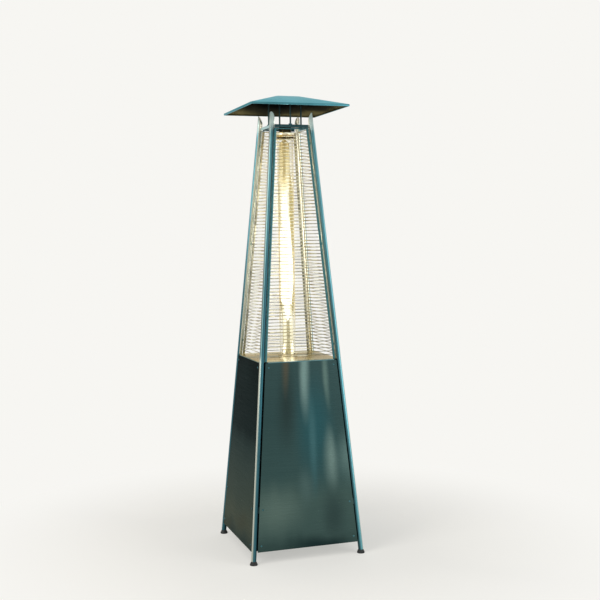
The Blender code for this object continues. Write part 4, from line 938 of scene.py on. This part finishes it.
def make_guard(side, strip, wires):
    """Welded guard: two flat strips with tabs to the posts, a flat top bar, and round wires behind them."""
    low, high = [corner.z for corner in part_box(f"guard_{side}")]
    turn = side_turn(side)
    inset = GUARD_INSET - GUARD_EDGE
    tab_reach = math.sqrt(POST_REACH ** 2 - GUARD_INSET ** 2) + SEAT_GAP
    wire_inset = inset + GUARD_STRIP_THICKNESS / 2 + GUARD_WIRE_RADIUS - GUARD_EDGE
    thin = GUARD_STRIP_THICKNESS - GUARD_EDGE / 2

    def place(across, level, depth=inset):
        return turn @ face_point(level, across, -depth)

    mesh = bmesh.new()
    for end in (-1, 1):
        start = place(end * strip_middle(low), low)
        stop = place(end * strip_middle(high), high)
        bar(mesh, start, stop, turn @ FACE_ACROSS, GUARD_STRIP, GUARD_STRIP_THICKNESS)
        for share in GUARD_TAB_SHARES:
            level = low + GUARD_TAB / 2 + (high - low - GUARD_TAB) * share
            root = place(end * strip_middle(level), level)
            tip = place(end * (half_at(level) - tab_reach), level)
            bar(mesh, root, tip, turn @ FACE_UP, GUARD_TAB, thin)
    level = high - GUARD_TOP_BAR / 2
    edge = strip_middle(level)
    bar(mesh, place(-edge, level), place(edge, level), turn @ FACE_UP, GUARD_TOP_BAR, thin)
    strip_faces = len(mesh.faces)
    first = DECK_LEVEL + GUARD_FIRST_RISE
    for index in range(int((high - GUARD_TOP_BAR - first) / GUARD_WIRE_PITCH)):
        level = first + GUARD_WIRE_PITCH * index
        reach = half_at(level) - GUARD_OUTER_ACROSS - GUARD_WIRE_END
        ends = []
        for end in (-1, 1):
            seed = Vector((level * GUARD_PLAY_RISE, end * GUARD_PLAY_SWAP, SIDE_TURNS[side]))
            play = GUARD_WIRE_PLAY * noise.noise(seed)
            ends.append(place(end * reach, level + play, wire_inset))
        wire(mesh, *ends)
    obj = add(f"wire_guard_{side}", mesh, wires, f"guard_{side}")
    obj.data.materials.append(strip.material)
    outward = turn @ FACE_NORMAL
    for polygon in obj.data.polygons[:strip_faces]:
        if polygon.normal.dot(outward) > -0.5:
            polygon.material_index = 1


# Hood

def rounded_square(span, level):
    """Square ring with round corners, at this height."""
    points = []
    half = span / 2 - HOOD_CORNER
    for quarter, (x, y) in enumerate(QUARTERS):
        for step in range(HOOD_CORNER_POINTS):
            angle = math.pi / 2 * (quarter + step / (HOOD_CORNER_POINTS - 1))
            points.append((x * half + HOOD_CORNER * math.cos(angle),
                           y * half + HOOD_CORNER * math.sin(angle), level))
    return points


def make_hood(outer_look, inner_look):
    """Folded hood sheet: soft ridges, an upright lip with a hem turned inwards, and an inside with soot,
    painted shadow and painted flame light.
    """
    low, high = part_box("hood")
    span = high.x - low.x
    rim = low.z
    top = high.z
    shoulder = rim + HOOD_LIP
    slope = 2 * (top - shoulder) / (span - HOOD_CAP_SPAN)
    drop = HOOD_THICKNESS * math.hypot(1.0, slope)
    inner = span - 2 * HOOD_THICKNESS
    inner_shoulder = shoulder - drop + HOOD_THICKNESS * slope
    inner_cap = HOOD_CAP_SPAN + 2 * (HOOD_THICKNESS - drop) / slope
    edge = HOOD_EDGE
    outside = [
        (HOOD_CAP_SPAN - 4 * edge, top),
        (HOOD_CAP_SPAN, top - edge * slope / 2),
        (HOOD_CAP_SPAN + 4 * edge, top - 2 * edge * slope),
        (span - 2 * edge, shoulder + edge * slope),
        (span - edge / 2, shoulder - edge / 4),
        (span, shoulder - edge),
        (span, rim + edge),
        (span - edge / 2, rim + edge / 4),
        (span - 2 * edge, rim),
    ]
    inside = [
        (span - 2 * HOOD_HEM, rim),
        (span - 2 * HOOD_HEM, rim + HOOD_THICKNESS),
        (inner, rim + HOOD_THICKNESS),
        (inner, inner_shoulder),
        (inner_cap, top - HOOD_THICKNESS),
    ]
    mesh = bmesh.new()
    loft(mesh, [rounded_square(width, level) for width, level in outside + inside])
    obj = add("hood_shell", mesh, outer_look, "hood")
    obj.data.materials.append(inner_look.material)
    inside_start = len(outside) * 4 * HOOD_CORNER_POINTS
    for polygon in obj.data.polygons:
        if min(polygon.vertices) >= inside_start:
            polygon.material_index = 1


# Glass tube and flame

def make_glass(look):
    """Smooth glass tube with fire-polished rims."""
    low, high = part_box("glass_tube")
    outer = high.x
    inner = outer - GLASS_WALL
    soft = GLASS_WALL / 4
    profile = [
        (outer, low.z + soft),
        (outer, high.z - soft),
        (outer - soft, high.z),
        (inner + soft, high.z),
        (inner, high.z - soft),
        (inner, low.z + soft),
        (inner + soft, low.z),
        (outer - soft, low.z),
    ]
    mesh = bmesh.new()
    loft(mesh, [circle(radius, GLASS_SIDES, level) for radius, level in profile], looped=True)
    obj = add("flame_glass", mesh, look, "glass_tube")
    obj.visible_shadow = False
    return obj


def smooth_step(value, low, high):
    share = min(max((value - low) / (high - low), 0.0), 1.0)
    return share * share * (3.0 - 2.0 * share)


def profile_at(level, profile):
    """Radius and middle at this height, smoothly between the rows of a profile.

    The rows are (height, radius, shift along the flame's heading)."""
    for (low, *start), (high, *stop) in zip(profile, profile[1:]):
        if level <= high:
            break
    share = smooth_step(level, low, high)
    radius, shift = [one + (other - one) * share for one, other in zip(start, stop)]
    return radius, direction(FLAME_HEADING) * shift + Vector((0.0, 0.0, level))


def stations(profile):
    """Height, radius and middle at even steps from the foot to the top of a profile."""
    low = profile[0][0]
    high = profile[-1][0]
    for step in range(FLAME_RINGS + 1):
        level = low + (high - low) * step / FLAME_RINGS
        yield level, *profile_at(level, profile)


def make_flame_skin(name, look, profile, seed):
    """Swirling skin of flame that follows a profile up the glass."""
    mesh = bmesh.new()
    rings = []
    for level, base, centre in stations(profile):
        ring = []
        for turn in turns(FLAME_SIDES):
            out = direction(turn)
            swirl = math.cos(FLAME_LOBES * turn - FLAME_TWIST * level + seed)
            place = out * FLAME_RAG_TURN
            place.z = level * FLAME_RAG_RISE + seed * FLAME_RAG_SEED
            ripple = FLAME_SWIRL_SHARE * (swirl - 1.0) + FLAME_RAG_SHARE * (noise.noise(place) - 1.0)
            ring.append(centre + out * (base * (1.0 + ripple)))
        rings.append(ring)
    loft(mesh, rings)
    add(name, mesh, look).visible_shadow = False


def make_flame_tongues(look):
    """Two bright tongues that climb inside the skin from the burner's rim to the top."""
    mesh = bmesh.new()
    foot = TONGUE_PROFILE[0][0]
    top = TONGUE_PROFILE[-1][0]
    for turn in TONGUE_TURNS:
        rings = []
        for level, reach, centre in stations(TONGUE_PROFILE):
            drift = noise.noise(Vector((turn, 0.0, level)) * TONGUE_DRIFT_SCALE)
            out = direction(FLAME_HEADING + turn + TONGUE_DRIFT_TURN * drift)
            side = Vector((-out.y, out.x, 0.0))
            tip = smooth_step(top - level, 0.0, TONGUE_TIP)
            swell = (TONGUE_TIP_SHARE + (1.0 - TONGUE_TIP_SHARE) * tip) * (1.0 + TONGUE_DRIFT_SWELL * drift)
            gathered = smooth_step(level, foot, TONGUE_FOOT_TOP)
            breadth = TONGUE_FOOT_BREADTH + (TONGUE_BREADTH - TONGUE_FOOT_BREADTH) * gathered
            middle = centre + out * reach
            deep = out * (TONGUE_DEPTH * swell)
            wide = side * (breadth * swell)
            rings.append([middle + deep * x + wide * y for x, y, _ in circle(1.0, TONGUE_SIDES)])
        loft(mesh, rings)
    add("flame_tongues", mesh, look).visible_shadow = False


# Screws and nuts

def hexagon(radius, level):
    """Ring of points on a hexagon, so that it can be lofted to round rings."""
    ring = []
    for turn in turns(SCREW_SIDES):
        reach = radius / math.cos((turn % (math.pi / 3)) - math.pi / 6)
        ring.append((reach * math.cos(turn), reach * math.sin(turn), level))
    return ring


def add_screw(mesh, place):
    """Button-head screw on a thin washer, with a hexagon socket."""
    top = SCREW_WASHER + SCREW_HEIGHT
    profile = [
        (SCREW_WASHER_RADIUS, 0.0),
        (SCREW_WASHER_RADIUS, SCREW_WASHER / 2),
        (SCREW_WASHER_RADIUS - SCREW_WASHER / 2, SCREW_WASHER),
    ]
    full_rise = math.sqrt(1.0 - SCREW_DOME[-1] ** 2)
    for share in SCREW_DOME:
        rise = math.sqrt(1.0 - share * share) / full_rise
        profile.append((SCREW_RADIUS * share, SCREW_WASHER + SCREW_HEIGHT * rise))
    rings = [circle(radius, SCREW_SIDES, level) for radius, level in profile]
    rings.append(hexagon(SCREW_SOCKET, top))
    rings.append(hexagon(SCREW_SOCKET, top - SCREW_SOCKET_DEPTH))
    loft(mesh, rings, place)


def make_screws(side, levels, out, look):
    """A face's screws, in pairs at these heights. Out is the panel's face before the posts' plane."""
    axes = Matrix((FACE_ACROSS, FACE_UP, FACE_NORMAL)).transposed().to_4x4()
    mesh = bmesh.new()
    for level in levels:
        for end in (-1, 1):
            across = end * (half_at(level) - SCREW_ACROSS)
            place = Matrix.Translation(face_point(level, across, out))
            add_screw(mesh, side_turn(side) @ place @ axes)
    add(f"panel_screws_{side}", mesh, look)


def add_nut(mesh, centre, low):
    """Hexagon nut with chamfered corners, standing on this level."""
    radius = NUT_RADIUS - NUT_EDGE
    rings = [
        circle(radius, SCREW_SIDES, low),
        hexagon(radius, low + NUT_EDGE),
        hexagon(radius, low + NUT_HEIGHT - NUT_EDGE),
        circle(radius, SCREW_SIDES, low + NUT_HEIGHT),
    ]
    loft(mesh, rings, Matrix.Translation(centre))


def make_stud_nuts(look):
    """A nut on each hood stud, above and below the upper plate."""
    plate_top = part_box("upper_plate")[1].z
    mesh = bmesh.new()
    for side in SIDE_TURNS:
        low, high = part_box(f"hood_stud_{side}")
        centre = Vector(((low.x + high.x) / 2, (low.y + high.y) / 2, 0.0))
        add_nut(mesh, centre, plate_top)
        add_nut(mesh, centre, plate_top - PANEL_THICKNESS - NUT_HEIGHT)
    add("stud_nuts", mesh, look)


# Studio

def make_floor():
    """Pale floor that glows like the backdrop far off and takes the object's soft shadow near it."""
    look = Look("floor")
    plain = look.range(look.reach(), FLOOR_SHADE_RADIUS / 3, FLOOR_SHADE_RADIUS, 1.0 - FLOOR_SHADE_SHARE, 1.0)
    matt = look.node("ShaderNodeBsdfDiffuse", BACKDROP)
    look.surface(plain, matt, look.node("ShaderNodeEmission", BACKDROP))
    mesh = bmesh.new()
    bmesh.ops.create_circle(mesh, cap_ends=True, segments=FLOOR_SIDES, radius=FLOOR_RADIUS)
    data = bpy.data.meshes.new("floor")
    mesh.to_mesh(data)
    mesh.free()
    data.materials.append(look.material)
    new_object("floor", data)


def make_world():
    """Backdrop colour for what the camera, mirrors and glass see, and a plain soft light for the rest."""
    world = bpy.data.worlds.new("studio")
    bpy.context.scene.world = world
    world.use_nodes = True
    tree = Tree(world.node_tree)
    rays = tree.node("ShaderNodeLightPath").outputs
    seen = tree.maths("MAXIMUM", rays["Is Camera Ray"], rays["Is Glossy Ray"])
    seen = tree.maths("MAXIMUM", seen, rays["Is Transmission Ray"])
    background = world.node_tree.nodes["Background"]
    tree.feed(background.inputs["Color"], BACKDROP)
    tree.feed(background.inputs["Strength"], tree.range(seen, 0.0, 1.0, AMBIENT, 1.0, smooth=False))


def lamp(name, kind, place, power, tint, **settings):
    """Lamp that is aimed at the object's middle and doesn't show to the camera."""
    data = bpy.data.lights.new(name, kind)
    data.energy = power
    data.color = tint
    for setting, value in settings.items():
        setattr(data, setting, value)
    obj = new_object(name, data)
    obj.location = place
    aim = Vector((0.0, 0.0, HEIGHT / 2)) - Vector(place)
    obj.rotation_euler = aim.to_track_quat("-Z", "Y").to_euler()
    obj.visible_camera = False
    return obj


def make_studio_lamps():
    """Two large soft boxes, one to each side of the camera."""
    for name, place, power, tint in SOFT_BOXES:
        lamp(name, "AREA", place, power, tint, shape="RECTANGLE", size=SOFT_BOX_WIDTH, size_y=SOFT_BOX_HEIGHT)


def make_flame_lamps(glass):
    """The flame's own warm light. It leaves the glass tube out, so that its walls don't glare."""
    spared = bpy.data.collections.new("spared")
    spared.objects.link(glass)
    spared.collection_objects[0].light_linking.link_state = "EXCLUDE"
    for level, power in FLAME_LAMPS:
        made = lamp(f"flame_{level:.2f}", "POINT", (0.0, 0.0, level), power, FLAME_LAMP_TINT,
                    shadow_soft_size=FLAME_LAMP_RADIUS)
        made.light_linking.receiver_collection = spared
        made.visible_transmission = False


# Looks by material slot, and the pieces

def slot_looks():
    """The look of each material slot."""
    return {
        "tube_steel": tube_look(),
        "panel_steel": panel_look("rear", FRONT_REFLECTION_LEVELS, REAR_REFLECTION_PATCHES),
        "dark_steel": brushed("dark_steel", (34, 52, 54), (66, 88, 88)),
        "inner_steel": brushed("inner_steel", (104, 110, 108), (158, 162, 156)),
        "deck_steel": deck_look(),
        "guard_steel": wire_look(),
        "hood_steel": hood_look(),
        "rubber": rubber_look(),
        "glass": glass_look(),
        "gasket": fibre_look(),
        "brass": machined_look("brass", (150, 116, 58), (206, 172, 98), 0.28),
        "copper": machined_look("copper", (150, 88, 58), (212, 142, 102), 0.3),
        "black_plastic": moulded_look(),
        "ceramic": ceramic_look(),
        "magnet": magnet_look(),
    }


def dress_nodes(looks):
    """Every CAD node takes its slot's look and smooth shading. Some nodes then get looks of their own."""
    for part in frame["record"]["subparts"]:
        obj = nodes[part["node"]]
        obj.data.materials.clear()
        obj.data.materials.append(looks[part["material_slot"]].material)
        soften(obj)
    studs = [f"hood_stud_{side}" for side in SIDE_TURNS]
    own_looks = (
        (panel_look("front", FRONT_REFLECTION_LEVELS, FRONT_REFLECTION_PATCHES), ["front_panel"]),
        (panel_look("left", SIDE_REFLECTION_LEVELS, SIDE_REFLECTION_PATCHES), ["left_panel"]),
        (panel_look("right", FRONT_REFLECTION_LEVELS, RIGHT_REFLECTION_PATCHES), ["right_panel"]),
        (looks["dark_steel"], ["brace_front", "brace_left", "brace_right", *studs]),
        (burnt_look(), ["glass_socket", "burner"]),
        (plate_look(), ["upper_plate"]),
        (collar_look(), ["flue_collar"]),
        (knob_look(), ["control_knob"]),
    )
    for look, names in own_looks:
        for name in names:
            nodes[name].data.materials[0] = look.material


def make_flames():
    make_flame_tongues(flame_look("flame_tongues", TONGUE_TINTS, 4.6, 0.08))
    make_flame_skin("flame_heart", flame_look("flame_heart", HEART_TINTS, 9.5, 0.04), HEART_PROFILE, 0.0)
    make_flame_skin("flame_veil", flame_look("flame_veil", VEIL_TINTS, 1.0, 0.12), VEIL_PROFILE, 1.7)


def main():
    bpy.context.scene.view_settings.view_transform = "Standard"
    make_camera()
    make_world()
    make_floor()
    make_studio_lamps()
    looks = slot_looks()
    dress_nodes(looks)
    for corner in CORNERS:
        make_post(corner, looks["tube_steel"])
    strip = strip_look()
    screw = brushed("screw_steel", (40, 74, 80), (86, 130, 138))
    for side in SIDE_TURNS:
        make_guard(side, strip, looks["guard_steel"])
    make_hood(looks["hood_steel"], soot_and_shadow_look())
    make_flame_lamps(make_glass(looks["glass"]))
    make_flames()
    for side in ("front", "left", "right"):
        make_screws(side, SCREW_HEIGHTS, PANEL_OUT + PANEL_THICKNESS / 2, screw)
    control_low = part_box("control_panel")[0].z
    make_screws("rear", (SCREW_HEIGHTS[-1], control_low + SCREW_ACROSS), PANEL_THICKNESS / 2, screw)
    make_stud_nuts(screw)


main()
